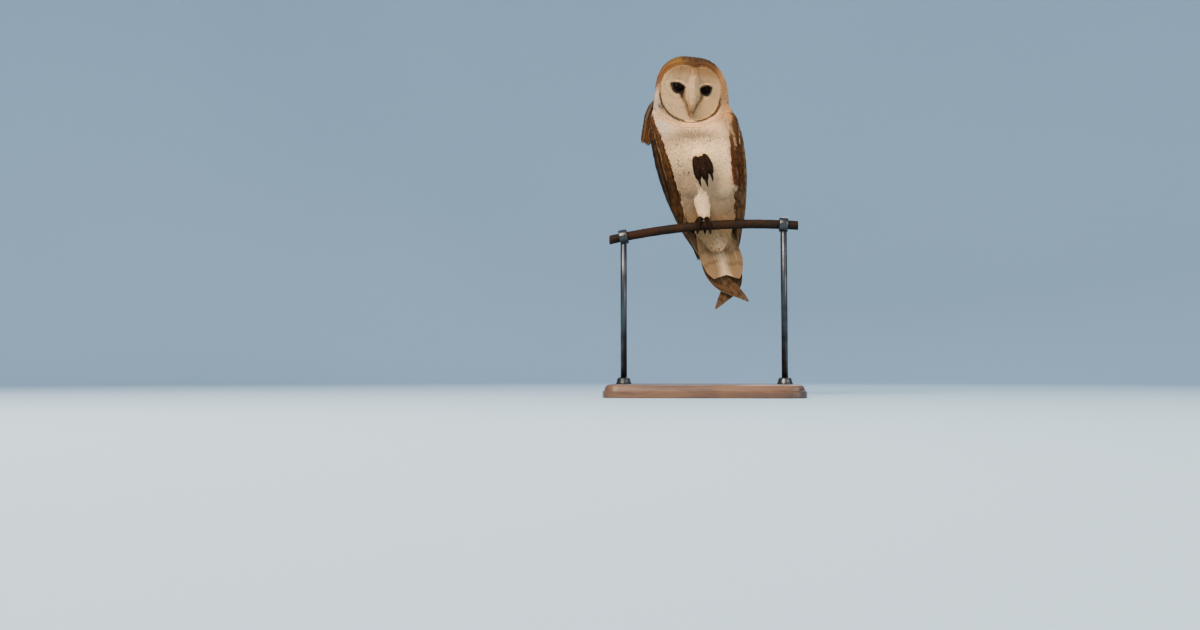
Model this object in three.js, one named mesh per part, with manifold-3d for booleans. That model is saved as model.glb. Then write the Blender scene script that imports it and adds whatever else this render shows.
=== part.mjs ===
// A barn owl, life size, standing on one foot on a cut length of iron rod: a still museum model on a stand.
// Units are millimetres. +Z is up, +X is the owl's left and the owl faces -Y.
// The origin is the middle of the base's underside.
import * as THREE from "three";
import { mergeVertices } from "three/addons/utils/BufferGeometryUtils.js";
import Module from "manifold-3d";

const wasm = await Module();
wasm.setup();

// Driving dimensions
const gap = 0.3; // between pieces that touch
const perchHeight = 240; // axis of the perch above the floor, under the standing foot
const perchRadius = 6.5; // a half-inch iron rod
const perchArc = { radius: 900, crown: 58, halfLength: 132 }; // the rod arches, and is highest at x = crown
const base = { width: 270, depth: 190, height: 18, corner: 22, edge: 2 };
const upright = { radius: 4.5, x: 112 };
const collar = { radius: 10.5, length: 12 };
const ferrule = { radius: 11, height: 9 };

// The spine leans and bends sideways: x and y of its line at height z above the perch.
const spine = { atPerch: [12.9, 22], slope: [-0.209, -0.22], bend: [0.0003, 0.0003] };
const bodyYaw = 4; // degrees towards the owl's left

// The trunk's outer coat, from the undertail to the shoulders. z is above the perch; front and back are y.
const trunkLevels = [
  { z: -36, halfWidth: 8, front: 30, back: 34 },
  { z: -14, halfWidth: 22, front: 22, back: 44 },
  { z: 8, halfWidth: 33, front: 15, back: 51 },
  { z: 30, halfWidth: 43, front: -3, back: 53 },
  { z: 52, halfWidth: 49, front: -26, back: 53 },
  { z: 78, halfWidth: 54, front: -46, back: 51 },
  { z: 108, halfWidth: 56, front: -52, back: 48 },
  { z: 134, halfWidth: 57.5, front: -44, back: 45 },
  { z: 158, halfWidth: 58, front: -33, back: 42 },
  { z: 180, halfWidth: 55, front: -28, back: 39 },
];
const trunkTop = 146;
const neckTop = 166;

// The folded wing lies on the trunk: its thickness, and the angles from the front where it starts and ends.
const wingLevels = [
  { z: -50, thick: 2.5, start: 118, end: 166, halfWidth: 25, front: 33, back: 50 },
  { z: -30, thick: 5, start: 98, end: 171, halfWidth: 31, front: 26, back: 52 },
  { z: -8, thick: 6.5, start: 78, end: 174, halfWidth: 36, front: 16, back: 53 },
  { z: 14, thick: 8, start: 60, end: 176, halfWidth: 42, front: 8, back: 54 },
  { z: 42, thick: 8.5, start: 52, end: 174, halfWidth: 48.5, front: -17, back: 53.5 },
  { z: 78, thick: 9, start: 52, end: 164, halfWidth: 54.5, front: -46, back: 51.5 },
  { z: 108, thick: 8.5, start: 58, end: 155, halfWidth: 56.5, front: -52, back: 48.5 },
  { z: 134, thick: 7, start: 66, end: 149, halfWidth: 58, front: -44, back: 44.5 },
  { z: 152, thick: 4.5, start: 80, end: 143, halfWidth: 58, front: -36, back: 43.5 },
  { z: 165, thick: 1.2, start: 90, end: 136, halfWidth: 58, front: -31, back: 41.5 },
];
// The mantle fills the back between the wings down to this height, and this share of their thickness.
const mantle = { bottom: 32, share: 0.85 };

// The folded primaries lie on the rump, reach past the tail and cross below it.
const primaries = {
  rumpHeights: [24, -2, -26],
  around: 152, // degrees from the front, on the rump
  right: [[14, 51, -59], [35, 53, -83.5], [61, 53, -108]],
  left: [[44, 58, -62], [39, 60, -88], [23, 60.5, -117]],
  widths: [22, 23, 23, 23, 22, 12],
  thickness: [10, 9, 7, 5.2, 3.8, 1.6],
};
const tail = {
  top: 14,
  bottom: -71,
  x: [10, 34],
  y: [33, 44],
  halfWidth: [22, 27, 29.5, 23],
  thickness: 4.4,
  arch: 3.5,
  notch: 6,
};

// The head turns and tips about the middle of the eye line.
const head = {
  at: [-19.4, -12, 192],
  yaw: 12,
  roll: 4,
  pitch: 8,
  shift: 6, // the feathers of the head stand further out on its left
  halfWidth: 53,
  crown: 45.5,
  back: 47,
  nape: 0.004, // the back draws in below the eyes
  front: 44,
  bottom: -52,
  widen: -0.16, // the head is wider at the bottom
  skew: -0.12, // and its outline leans more than the face
  power: 2.6, // of its outline from the front
  plan: 2.5, // of its outline from above
  profile: 2.2, // of its outline from the side
};
// The facial disc, a heart: half width, height of its lobes and depth of the notch between them, and chin.
const disc = { halfWidth: 42.7, lobes: 31, notch: 4.5, chin: 47.5, power: 2.35, plane: -9 };
const relief = { middle: 37, sideFall: 19, topFall: 7, chinFall: 3, bowl: 6.5, ridge: 5, nose: 9, rim: 2.5 };
const eye = { x: 18.6, z: -2, radius: 9.4, sunk: 5 };
const bill = { top: -16, tip: -41.5, radius: 4.2 };

const toe = { radius: 3.5, claw: 2.3 };
const legRight = { knee: [-12, -20, 70], ankle: [-3, -9, 44], foot: [2, 0, 12], radii: [15, 12, 8] };
const thighs = {
  right: { at: [-15, -14, 66], size: [18, 19, 27] },
  left: { at: [28, -15, 64], size: [21, 20, 30] },
};
const raisedFoot = { at: [-3.5, -54.5, 84.5], lean: 15, nod: 15 };
const legLeft = { from: [2, -34, 92], radii: [11, 9.5, 8] };

const { sin, cos, abs, sign, sqrt, exp, PI, min, max } = Math;
const deg = PI / 180;
const bell = (v) => exp(-v * v); // a smooth bump, 1 at v = 0
const point = (x, y, z) => new THREE.Vector3(x, y, z);
const spineAt = (z) => [0, 1].map((i) => spine.atPerch[i] + spine.slope[i] * z + spine.bend[i] * z * z);

// A named value of a list of levels at height z, on a smooth curve through the levels.
function levelled(levels, key, z) {
  const next = levels.findIndex((l) => l.z > z);
  const i = next === -1 ? levels.length - 2 : max(0, next - 1);
  const [a, b] = [levels[i], levels[i + 1]];
  const [before, after] = [levels[i - 1] ?? a, levels[i + 2] ?? b];
  const span = b.z - a.z;
  const u = max(0, min(1, (z - a.z) / span));
  const slopeA = ((b[key] - before[key]) / (b.z - before.z)) * span;
  const slopeB = ((after[key] - a[key]) / (after.z - a.z)) * span;
  const ease = u * u * (3 - 2 * u);
  return a[key] + (b[key] - a[key]) * ease + slopeA * u * (1 - u) ** 2 - slopeB * u * u * (1 - u);
}

// The same smooth curve through evenly spaced values, for t from 0 to 1.
const smooth = (values, t) =>
  levelled(values.map((v, i) => ({ z: i, v })), "v", t * (values.length - 1));

const spaced = (from, to, count) =>
  Array.from({ length: count }, (_, i) => from + ((to - from) * i) / (count - 1));
const aroundTurn = (count) => spaced(0, 2 * PI, count + 1).slice(0, count);

// --- solids ---
function solidOf(positions, triangles) {
  const vertProperties = new Float32Array(positions);
  const make = (tri) =>
    new wasm.Manifold(new wasm.Mesh({ numProp: 3, vertProperties, triVerts: new Uint32Array(tri) }));
  const made = make(triangles);
  if (made.volume() > 0) return made;
  const turned = [];
  for (let i = 0; i < triangles.length; i += 3) turned.push(triangles[i], triangles[i + 2], triangles[i + 1]);
  return make(turned);
}

// A closed solid through rings of points, with a fan over each end.
function loft(rings) {
  const m = rings[0].length;
  const positions = rings.flat().flatMap((p) => [p.x, p.y, p.z]);
  const triangles = [];
  for (let r = 0; r + 1 < rings.length; r++)
    for (let i = 0; i < m; i++) {
      const [a, b] = [r * m + i, r * m + ((i + 1) % m)];
      triangles.push(a, b, a + m, b, b + m, a + m);
    }
  for (const [ring, first, turn] of [[rings[0], 0, true], [rings.at(-1), (rings.length - 1) * m, false]]) {
    const middle = ring.reduce((s, p) => s.add(p), point(0, 0, 0)).divideScalar(m);
    const c = positions.length / 3;
    positions.push(middle.x, middle.y, middle.z);
    for (let i = 0; i < m; i++) {
      const [a, b] = [first + i, first + ((i + 1) % m)];
      triangles.push(...(turn ? [c, b, a] : [c, a, b]));
    }
  }
  return solidOf(positions, triangles);
}

function solidFromGeometry(geometry) {
  const bare = geometry.clone();
  for (const name of Object.keys(bare.attributes)) if (name !== "position") bare.deleteAttribute(name);
  const merged = mergeVertices(bare, 1e-4);
  return solidOf(merged.attributes.position.array, merged.index.array);
}

// Cuts the others away and keeps the largest piece that is left.
function carve(solid, ...others) {
  let left = solid;
  for (const other of others) left = left.subtract(other);
  return left.decompose().sort((a, b) => b.volume() - a.volume())[0];
}

// A half space as a big box: everything on the +normal side of a point.
function beyond(at, normal) {
  const size = 600;
  const turn = new THREE.Quaternion().setFromUnitVectors(point(0, 0, 1), normal.clone().normalize());
  const box = new THREE.BoxGeometry(size, size, size).translate(0, 0, size / 2).applyQuaternion(turn);
  return solidFromGeometry(box.translate(at.x, at.y, at.z));
}

// A round or oval tube through points, with its radii at them and rounded ends.
function limb(path, radii, sides, steps) {
  const curve = new THREE.CatmullRomCurve3(path.map((p) => point(...p)));
  const frames = curve.computeFrenetFrames(steps, false);
  const ringAt = (t, i, radius, back) => {
    const centre = curve.getPoint(t).addScaledVector(frames.tangents[i], back);
    return aroundTurn(sides).map((a) =>
      centre
        .clone()
        .addScaledVector(frames.normals[i], radius * cos(a))
        .addScaledVector(frames.binormals[i], radius * sin(a)),
    );
  };
  const rings = spaced(0, 1, steps + 1).map((t, i) => ringAt(t, i, smooth(radii, t), 0));
  const [first, last] = [radii[0], radii.at(-1)];
  rings.unshift(ringAt(0, 0, first * 0.55, -first * 0.7));
  rings.push(ringAt(1, steps, last * 0.55, last * 0.7));
  return loft(rings);
}

function ellipsoid(at, size, grow = 0) {
  const ball = new THREE.SphereGeometry(1, 11, 7).rotateX(PI / 2);
  return solidFromGeometry(ball.scale(...size.map((s) => s + grow)).translate(...at));
}

// --- trunk, neck and wings, about the leaning spine ---
const power = (v, n) => sign(v) * abs(v) ** (2 / n);

function bodyPoint(levels, angle, z, out, n = 2.2) {
  const [cx, cy] = spineAt(z);
  const w = levelled(levels, "halfWidth", z) + out;
  const y = cos(angle) > 0 ? levelled(levels, "front", z) - out : levelled(levels, "back", z) + out;
  const [lx, ly] = [w * power(sin(angle), n), (y - cy) * abs(power(cos(angle), n))];
  const turn = bodyYaw * deg;
  return point(cx + lx * cos(turn) - ly * sin(turn), cy + lx * sin(turn) + ly * cos(turn), z);
}

function bodyLoft(levels, from, to, count, grow = 0) {
  const angles = aroundTurn(20);
  return loft(spaced(from, to, count).map((z) => angles.map((a) => bodyPoint(levels, a, z, grow))));
}

// A shell on the back from one angle to another, its thickness shared out by `lens` across it.
function shell(from, to, count, span, lens, grow = 0) {
  const steps = spaced(0, 1, 8);
  return loft(
    spaced(from, to, count).map((z) => {
      const [start, end] = span(z);
      const at = (t, out) => bodyPoint(wingLevels, (start + (end - start) * t) * deg, z, out);
      const thick = levelled(wingLevels, "thick", z);
      return [
        ...steps.map((t) => at(t, gap + thick * lens(t) + grow)),
        ...steps.toReversed().map((t) => at(t, -2 - grow)),
      ];
    }),
  );
}
const wingShell = (side, grow = 0) =>
  shell(
    wingLevels[0].z,
    wingLevels.at(-1).z,
    12,
    (z) => ["start", "end"].map((k) => side * (levelled(wingLevels, k, z) + (k === "end" ? grow : -grow))),
    (t) => (t < 0.35 ? 0.18 + 0.82 * sin((t / 0.35) * (PI / 2)) : 1 - 0.25 * ((t - 0.35) / 0.65) ** 2),
    grow,
  );
const mantleShell = () =>
  shell(
    mantle.bottom,
    wingLevels.at(-1).z,
    8,
    (z) => [levelled(wingLevels, "end", z) + 0.6, 359.4 - levelled(wingLevels, "end", z)],
    (t) => mantle.share * (0.8 + 0.2 * sin(PI * t)),
  );

function primaryStack(side, grow = 0) {
  const s = side === "left" ? 1 : -1;
  const root = primaries.rumpHeights.map((z) => bodyPoint(wingLevels, s * primaries.around * deg, z, 1));
  const curve = new THREE.CatmullRomCurve3([...root, ...primaries[side].map((p) => point(...p))]);
  return loft(
    spaced(0, 1, 9).map((t) => {
      const centre = curve.getPoint(t);
      const face = point(s * 0.55 * (1 - t), 1, 0.1).normalize();
      const across = new THREE.Vector3().crossVectors(curve.getTangent(t), face).normalize();
      const w = smooth(primaries.widths, t) / 2 + grow;
      const d = smooth(primaries.thickness, t) / 2 + grow;
      return aroundTurn(8).map((a) =>
        centre
          .clone()
          .addScaledVector(across, w * power(cos(a), 3))
          .addScaledVector(face, d * power(sin(a), 3)),
      );
    }),
  );
}

function tailFan(grow = 0) {
  const columns = spaced(-1, 1, 7);
  return loft(
    spaced(0, 1, 5).map((t) => {
      const z = tail.top + (tail.bottom - tail.top) * t;
      const [cx, y] = [tail.x, tail.y].map(([from, to]) => from + (to - from) * t);
      const w = smooth(tail.halfWidth, t) + grow;
      const half = (tail.thickness / 2) * (1 - 0.45 * t) + grow;
      const at = (u, side) => {
        const notch = t === 1 ? tail.notch * (1 - abs(u)) - grow : 0;
        return point(cx + w * u, y + tail.arch * u * u + side * half * sqrt(1.08 - u * u), z + notch);
      };
      return [...columns.map((u) => at(u, -1)), ...columns.toReversed().map((u) => at(u, 1))];
    }),
  );
}

// --- head ---
const headTurn = new THREE.Matrix4()
  .makeTranslation(...head.at)
  .multiply(new THREE.Matrix4().makeRotationZ(head.yaw * deg))
  .multiply(new THREE.Matrix4().makeRotationY(head.roll * deg))
  .multiply(new THREE.Matrix4().makeRotationX(head.pitch * deg));
const onHead = (x, y, z) => point(x, y, z).applyMatrix4(headTurn);

// How far the front of the head stands forward at x, z of its own frame, without the face's relief.
function browAt(x, z) {
  const [end, fall] = z > 0 ? [disc.lobes, relief.topFall] : [disc.chin, relief.chinFall];
  return relief.middle - relief.sideFall * (x / disc.halfWidth) ** 2 - fall * (z / end) ** 2;
}

// The same with the bowls round the eyes, the ridge between them and the bristly nose.
function faceAt(x, z) {
  const noseWidth = 4.5 + 6 * bell((z + 14) / 13);
  const nose = relief.nose * bell(x / noseWidth) * bell((z + 17) / 15);
  const ridge = relief.ridge * bell(x / 6) * bell((z - 12) / 16);
  const bowl = relief.bowl * bell((abs(x) - 19) / 13) * bell((z + 3) / 17);
  const out = (x / disc.halfWidth) ** 2 + (z / (z > 0 ? disc.lobes : disc.chin)) ** 2;
  const edge = relief.rim * min(1, out) ** 4;
  return browAt(x, z) + nose + ridge - bowl + edge;
}

// The heart's edge at an angle from straight down, as a radius.
function discEdge(angle) {
  const [dx, dz] = [sin(angle), -cos(angle)];
  const tall = dz > 0 ? disc.lobes : disc.chin;
  const n = disc.power;
  const r = (abs(dx / disc.halfWidth) ** n + abs(dz / tall) ** n) ** (-1 / n);
  return dz > 0 ? r - disc.notch * bell((r * dx) / 9) : r;
}

// The disc as a solid plug. As a cutter it reaches out in front of the face.
function faceMask(grow = 0, cutter = false) {
  const angles = aroundTurn(24);
  const ring = (share, y) =>
    angles.map((a) => {
      const r = (discEdge(a) + grow) * share;
      const [x, z] = [r * sin(a), -r * cos(a)];
      return onHead(x, y ?? -faceAt(x, z), z);
    });
  const sides = [ring(1), ring(0.985, disc.plane + grow), ring(0.5, disc.plane + grow)];
  if (cutter) return loft([ring(0.5, -2 * relief.middle), ring(1, -2 * relief.middle), ...sides]);
  return loft([...[0.1, 0.3, 0.5, 0.7, 0.88].map((share) => ring(share)), ...sides]);
}

// The rest of the head: its front is cut to the brow, its sides run straight back and its nape is round.
function headDome() {
  const turns = aroundTurn(20);
  const rings = [0.985, 0.93, 0.82, 0.62, 0.36, 0.08, -0.25, -0.6, -1].map((t) => {
    const z = t > 0 ? head.crown * t : -head.bottom * t;
    const rounded = (n) => (1 - max(0, t) ** n) ** (1 / n);
    const wide = (head.halfWidth + head.widen * z) * rounded(head.power);
    const deep = rounded(head.profile);
    return turns.map((a) => {
      const x = wide * power(sin(a), head.plan) + head.shift + head.skew * z;
      const y = abs(power(cos(a), head.plan));
      const back = head.back * deep * (1 + head.nape * min(0, z));
      return onHead(x, cos(a) > 0 ? max(-head.front * y, -browAt(x, z)) * deep ** 0.6 : back * y, z);
    });
  });
  return loft(rings);
}

const eyeCentre = (side) => [side * eye.x, -faceAt(eye.x, eye.z) + eye.sunk, eye.z];
function eyeBall(side, grow = 0) {
  const ball = new THREE.SphereGeometry(eye.radius + grow, 10, 8).rotateX(PI / 2);
  return solidFromGeometry(ball.translate(...eyeCentre(side)).applyMatrix4(headTurn));
}

function billSolid(lower, grow = 0) {
  const y = -faceAt(0, bill.top);
  const path = lower
    ? [[0, y + 9, bill.top - 8], [0, y + 7.5, bill.top - 14], [0, y + 7, bill.tip + 4]]
    : [[0, y + 6, bill.top + 2], [0, y + 1.5, bill.top - 8], [0, y + 3, bill.tip + 8], [0, y + 7, bill.tip]];
  const radii = lower ? [3.4, 2.8, 1.4] : [bill.radius, bill.radius, 3, 0.9];
  return limb(
    path.map(([x, yy, z]) => onHead(x, yy, z).toArray()),
    radii.map((r) => r + grow),
    8,
    4,
  );
}

// --- legs and feet ---
const featheredLeg = (grow = 0) =>
  limb([legRight.knee, legRight.ankle, legRight.foot], legRight.radii.map((r) => r + grow), 8, 4);

// The clenched foot hangs from its ankle in front of the belly: toes curl down side by side, claws below.
const raisedTurn = new THREE.Matrix4()
  .makeTranslation(...raisedFoot.at)
  .multiply(new THREE.Matrix4().makeRotationY(-raisedFoot.lean * deg))
  .multiply(new THREE.Matrix4().makeRotationX(raisedFoot.nod * deg));
const onRaised = ([x, y, z]) => point(x, y, z).applyMatrix4(raisedTurn).toArray();
// The drawn-up leg comes out of the belly to the clenched foot.
const foldedLeg = (grow = 0) =>
  limb([legLeft.from, onRaised([0, 4, 4])], legLeft.radii.map((r) => r + grow), 8, 3);

// A toe that wraps the perch from x on top of it, spreading sideways, round to `reach` degrees.
function perchToe(x, spread, way, reach, clawOnly, grow = 0) {
  const r = perchRadius + toe.radius + gap;
  const round = (a, radius, side) => [x + spread * side, -way * radius * sin(a * deg), radius * cos(a * deg)];
  if (!clawOnly)
    return limb(
      spaced(14, reach, 5).map((a, i) => round(a, r + (i === 0 ? 0.6 : 0), i / 4)),
      [3.7, 3.6, toe.radius, 3.4, 3.1].map((v) => v + grow),
      6,
      5,
    );
  const start = reach + 22;
  return limb(
    spaced(start, start + 66, 4).map((a, i) => round(a, r - 0.6 + i * 0.4, 1 + i * 0.08)),
    [toe.claw, 1.9, 1.3, 0.55].map((v) => v + grow),
    5,
    4,
  );
}
const perchToes = {
  inner: [4.6, 5.5, 1, 116],
  middle: [-3, -4.5, 1, 126],
  outer: [-5, -8.5, -1, 108],
  hind: [2.2, 0.6, -1, 96],
};

const raisedToes = {
  inner: { x: -7.4, drop: 24, bulge: 4 },
  middle: { x: 0.8, drop: 27, bulge: 5.5 },
  outer: { x: 8.6, drop: 21, bulge: 3 },
  hind: { x: -2, drop: 14, bulge: -4 },
};
function raisedToe({ x, drop, bulge }, claw, grow = 0) {
  const fan = 0.12 * x;
  const end = x + fan;
  if (!claw) {
    const path = [
      [x * 0.75, 0, 1],
      [x, -bulge * 0.7, -drop * 0.35],
      [end, -bulge, -drop * 0.7],
      [end, -bulge * 0.5, -drop],
    ];
    return limb(path.map(onRaised), [4.6, 5, 4.8, 3.8].map((r) => r + grow), 7, 4);
  }
  const from = -drop - 3.6;
  const hook = [
    [end, -bulge * 0.3, from],
    [end, bulge * 0.2, from - 5],
    [x + fan * 0.6, bulge * 0.2 + 3, from - 10],
  ];
  return limb(hook.map(onRaised), [2.4, 1.8, 0.6], 5, 4);
}

// --- feathers that stand off the right shoulder ---
function shoulderTuft() {
  const columns = spaced(-1, 1, 5);
  return loft(
    spaced(0, 1, 6).map((t) => {
      const centre = point(-66 - 13 * t ** 0.6, 27 - 5 * t + 8 * sin(PI * t), 186 - 66 * t);
      const w = 5 + 7 * sin(PI * min(1, 0.1 + t * 0.82));
      const half = 1.6 * (1 - 0.5 * t);
      const tip = t === 1 ? 6 : 0; // the end is rounded
      const at = (u, s) =>
        point(centre.x + w * u * 0.9, centre.y + w * u * 0.35 + s * half, centre.z + tip * u * u - s * 0.2);
      return [...columns.map((u) => at(u, -1)), ...columns.toReversed().map((u) => at(u, 1))];
    }),
  );
}

// --- perch and stand ---
const perchAt = (x) => {
  const rise = (v) => sqrt(perchArc.radius ** 2 - (v - perchArc.crown) ** 2);
  return rise(x) - rise(0);
};
function perchRod(grow = 0) {
  const xs = spaced(-perchArc.halfLength, perchArc.halfLength, 10);
  const r = perchRadius + grow;
  return loft(
    xs.map((x) =>
      aroundTurn(12).map((a) => point(x, r * cos(a), perchAt(x) + r * sin(a))),
    ),
  );
}

function baseBoard() {
  const { width, depth, height, corner, edge } = base;
  const [w, d, r] = [width / 2 - edge, depth / 2 - edge, corner - edge];
  const outline = new THREE.Shape();
  outline.moveTo(-w + r, -d);
  [[1, -1], [1, 1], [-1, 1], [-1, -1]].forEach(([x, y], i) =>
    outline.absarc(x * (w - r), y * (d - r), r, (i - 1) * 90 * deg, i * 90 * deg, false),
  );
  const board = new THREE.ExtrudeGeometry(outline, {
    depth: height - 2 * edge,
    bevelThickness: edge,
    bevelSize: edge,
    bevelSegments: 1,
    curveSegments: 3,
  });
  return solidFromGeometry(board.translate(0, 0, edge));
}

// A turned form about Y from [radius, height] pairs.
const lathe = (profile, sides) =>
  new THREE.LatheGeometry(profile.map((p) => new THREE.Vector2(...p)), sides);
const standing = (x, profile) => solidFromGeometry(lathe(profile, 10).rotateX(PI / 2).translate(x, 0, 0));

// A ring round the foot of an upright.
const ferruleAt = (x, z) => {
  const [inner, outer] = [upright.radius + gap, ferrule.radius];
  const top = z + ferrule.height;
  return standing(x, [[inner, z], [outer, z], [outer, top - 2], [outer - 2, top], [inner, top], [inner, z]]);
};

// A ring round the perch, on top of an upright.
const collarAt = (x, inner = perchRadius + gap, grow = 0) => {
  const [outer, h] = [collar.radius + grow, collar.length / 2 + grow];
  const half = [[inner, -h], [outer - 1, -h], [outer, 1 - h]];
  const profile = [...half, ...half.toReversed().map(([r, y]) => [r, -y]), half[0]];
  const slope = (perchAt(x + 1) - perchAt(x - 1)) / 2;
  const ring = lathe(profile, 12).rotateZ(-PI / 2).rotateY(-Math.atan(slope));
  return solidFromGeometry(ring.translate(x, 0, perchAt(x)));
};

// --- the parts, heights above the perch lifted to heights above the floor ---
const owl = new THREE.Group();
owl.name = "barn_owl";

const finishes = {
  crown: { color: 0x8a5e38, roughness: 0.9 },
  mask: { color: 0xd9c3a6, roughness: 0.9 },
  breast: { color: 0xe4d3bd, roughness: 0.9 },
  mantle: { color: 0x7a5834, roughness: 0.9 },
  flight: { color: 0x5a4230, roughness: 0.85 },
  tail: { color: 0xcdb795, roughness: 0.85 },
  horn: { color: 0xd8bfa6, roughness: 0.5 },
  eye: { color: 0x080504, roughness: 0.08 },
  toe: { color: 0x3c2c20, roughness: 0.7 },
  claw: { color: 0x15100d, roughness: 0.35 },
  iron: { color: 0x33241b, roughness: 0.6, metalness: 0.6 },
  board: { color: 0x3a2e26, roughness: 0.5 },
  steel: { color: 0x2b2b2c, roughness: 0.45, metalness: 0.8 },
};

function add(name, finish, solid, lift = perchHeight) {
  const { vertProperties, triVerts } = solid.getMesh();
  const geometry = new THREE.BufferGeometry()
    .setAttribute("position", new THREE.BufferAttribute(vertProperties, 3))
    .setIndex(new THREE.BufferAttribute(triVerts, 1));
  geometry.computeVertexNormals();
  const mesh = new THREE.Mesh(geometry, new THREE.MeshStandardMaterial(finishes[finish]));
  mesh.name = name;
  mesh.position.z = lift;
  owl.add(mesh);
}

// Head
const [up, down] = [point(0, 0, 1), point(0, 0, -1)];
const above = (z) => beyond(point(0, 0, z), up);
const below = (z) => beyond(point(0, 0, z), down);
const eyeHoles = [eyeBall(1, gap), eyeBall(-1, gap)];
add("head", "crown", carve(headDome(), below(neckTop), faceMask(gap, true), ...eyeHoles));
add("face_disc", "mask", carve(faceMask(), ...eyeHoles, billSolid(false, gap), billSolid(true, gap)));
add("bill_upper", "horn", billSolid(false));
add("bill_lower", "horn", carve(billSolid(true), billSolid(false, gap)));
add("eye_left", "eye", eyeBall(1));
add("eye_right", "eye", eyeBall(-1));

// Trunk and neck
const thighSolid = (side, grow = 0) => ellipsoid(thighs[side].at, thighs[side].size, grow);
const wholeTrunk = bodyLoft(trunkLevels, trunkLevels[0].z, 178, 13);
add("neck", "breast", carve(wholeTrunk, above(neckTop - gap), below(trunkTop), faceMask(gap, true)));
const trunk = carve(
  wholeTrunk,
  above(trunkTop - gap),
  faceMask(gap, true),
  tailFan(gap),
  thighSolid("left", gap),
  thighSolid("right", gap),
  featheredLeg(gap),
  foldedLeg(gap),
);
add("trunk", "breast", trunk);

// Tail and wings
const grownTrunk = bodyLoft(trunkLevels, trunkLevels[0].z - gap, 178, 13, gap);
add("tail", "tail", carve(tailFan(), primaryStack("right", gap), primaryStack("left", gap)));
add("mantle", "mantle", carve(mantleShell(), grownTrunk, wingShell(1, gap), wingShell(-1, gap)));
for (const side of ["right", "left"]) {
  const s = side === "left" ? 1 : -1;
  add(`wing_${side}`, "mantle", carve(wingShell(s), grownTrunk, tailFan(gap), thighSolid(side, gap)));
  const others = [wingShell(1, gap), wingShell(-1, gap), grownTrunk];
  if (side === "left") others.push(primaryStack("right", gap));
  add(`primaries_${side}`, "flight", carve(primaryStack(side), ...others));
}

// Legs and feet
add("thigh_right", "breast", carve(thighSolid("right"), thighSolid("left", gap), featheredLeg(gap)));
add("thigh_left", "breast", thighSolid("left"));
const rod = perchRod(gap);
const gripping = Object.entries(perchToes);
const grippingGrown = gripping.map(([, how]) => perchToe(...how, false, gap));
add("leg_right", "breast", carve(featheredLeg(), rod, ...grippingGrown));
gripping.forEach(([name, how], i) => {
  add(`toe_right_${name}`, "toe", carve(perchToe(...how, false), rod, ...grippingGrown.slice(0, i)));
  add(`claw_right_${name}`, "claw", carve(perchToe(...how, true), rod, ...grippingGrown));
});
add("leg_left", "breast", foldedLeg());
const raised = Object.entries(raisedToes);
const raisedGrown = raised.map(([, how]) => raisedToe(how, false, gap));
raised.forEach(([name, how], i) => {
  const before = [grownTrunk, foldedLeg(gap), ...raisedGrown.slice(0, i)];
  add(`toe_left_${name}`, "toe", carve(raisedToe(how, false), ...before));
  add(`claw_left_${name}`, "claw", carve(raisedToe(how, true), ...raisedGrown));
});

add("scapulars_right", "mantle", carve(shoulderTuft(), wingShell(-1, gap), grownTrunk));

// Perch and stand
add("perch", "iron", carve(perchRod(), ...grippingGrown));
add("stand_base", "board", baseBoard(), 0);
for (const [side, s] of [["right", -1], ["left", 1]]) {
  const x = s * upright.x;
  const foot = base.height + gap;
  const top = perchHeight + perchAt(x) - perchRadius;
  const post = standing(x, [[0, foot], [upright.radius, foot], [upright.radius, top], [0, top]]);
  const ringAbove = collarAt(x, 0.5, gap).translate(0, 0, perchHeight);
  add(`stand_ferrule_${side}`, "steel", ferruleAt(x, foot), 0);
  add(`stand_rod_${side}`, "steel", carve(post, ringAbove), 0);
  add(`stand_collar_${side}`, "steel", collarAt(x));
}

export default owl;
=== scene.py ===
from math import cos, pi, radians, sin

import bpy
import numpy as np
from mathutils import Matrix, Vector
from mathutils.bvhtree import BVHTree
from mathutils.kdtree import KDTree


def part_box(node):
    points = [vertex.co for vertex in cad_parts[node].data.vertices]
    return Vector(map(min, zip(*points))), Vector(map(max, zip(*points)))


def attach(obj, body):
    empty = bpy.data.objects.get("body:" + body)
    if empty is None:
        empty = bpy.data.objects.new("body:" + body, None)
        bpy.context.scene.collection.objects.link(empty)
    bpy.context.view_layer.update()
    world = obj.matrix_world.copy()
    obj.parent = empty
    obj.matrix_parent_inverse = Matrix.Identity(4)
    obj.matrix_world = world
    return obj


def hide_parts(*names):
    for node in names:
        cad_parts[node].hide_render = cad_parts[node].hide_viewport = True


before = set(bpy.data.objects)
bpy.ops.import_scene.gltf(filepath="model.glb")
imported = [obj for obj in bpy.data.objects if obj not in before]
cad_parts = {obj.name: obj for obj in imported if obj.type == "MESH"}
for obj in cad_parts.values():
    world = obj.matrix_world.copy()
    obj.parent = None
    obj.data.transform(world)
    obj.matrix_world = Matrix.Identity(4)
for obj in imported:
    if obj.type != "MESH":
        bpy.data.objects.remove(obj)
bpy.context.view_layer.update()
chance = np.random.default_rng(7)

# Lengths are in millimetres, and heights in the owl's own sizes are above the middle of the perch.
mm = 0.001
perchHeight = 240


def toScene(points):
    return (np.asarray(points, float) + (0, 0, perchHeight)) * mm


def fromScene(points):
    return np.asarray(points, float) / mm - (0, 0, perchHeight)


def unit(v):
    return v / np.maximum(np.linalg.norm(v, axis=-1, keepdims=True), 1e-9)


def ease(low, high, v):
    t = np.clip((np.asarray(v, float) - low) / (high - low), 0, 1)
    return t * t * (3 - 2 * t)


def bell(v):
    return np.exp(-np.square(v))


def along(values, t):  # a value from a short evenly spaced list
    return np.interp(t, np.linspace(0, 1, len(values)), values)


def tone(text):  # a hex colour as linear light
    c = np.array([int(text[i:i + 2], 16) for i in (0, 2, 4)]) / 255
    return np.where(c <= 0.04045, c / 12.92, ((c + 0.055) / 1.055) ** 2.4)


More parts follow.
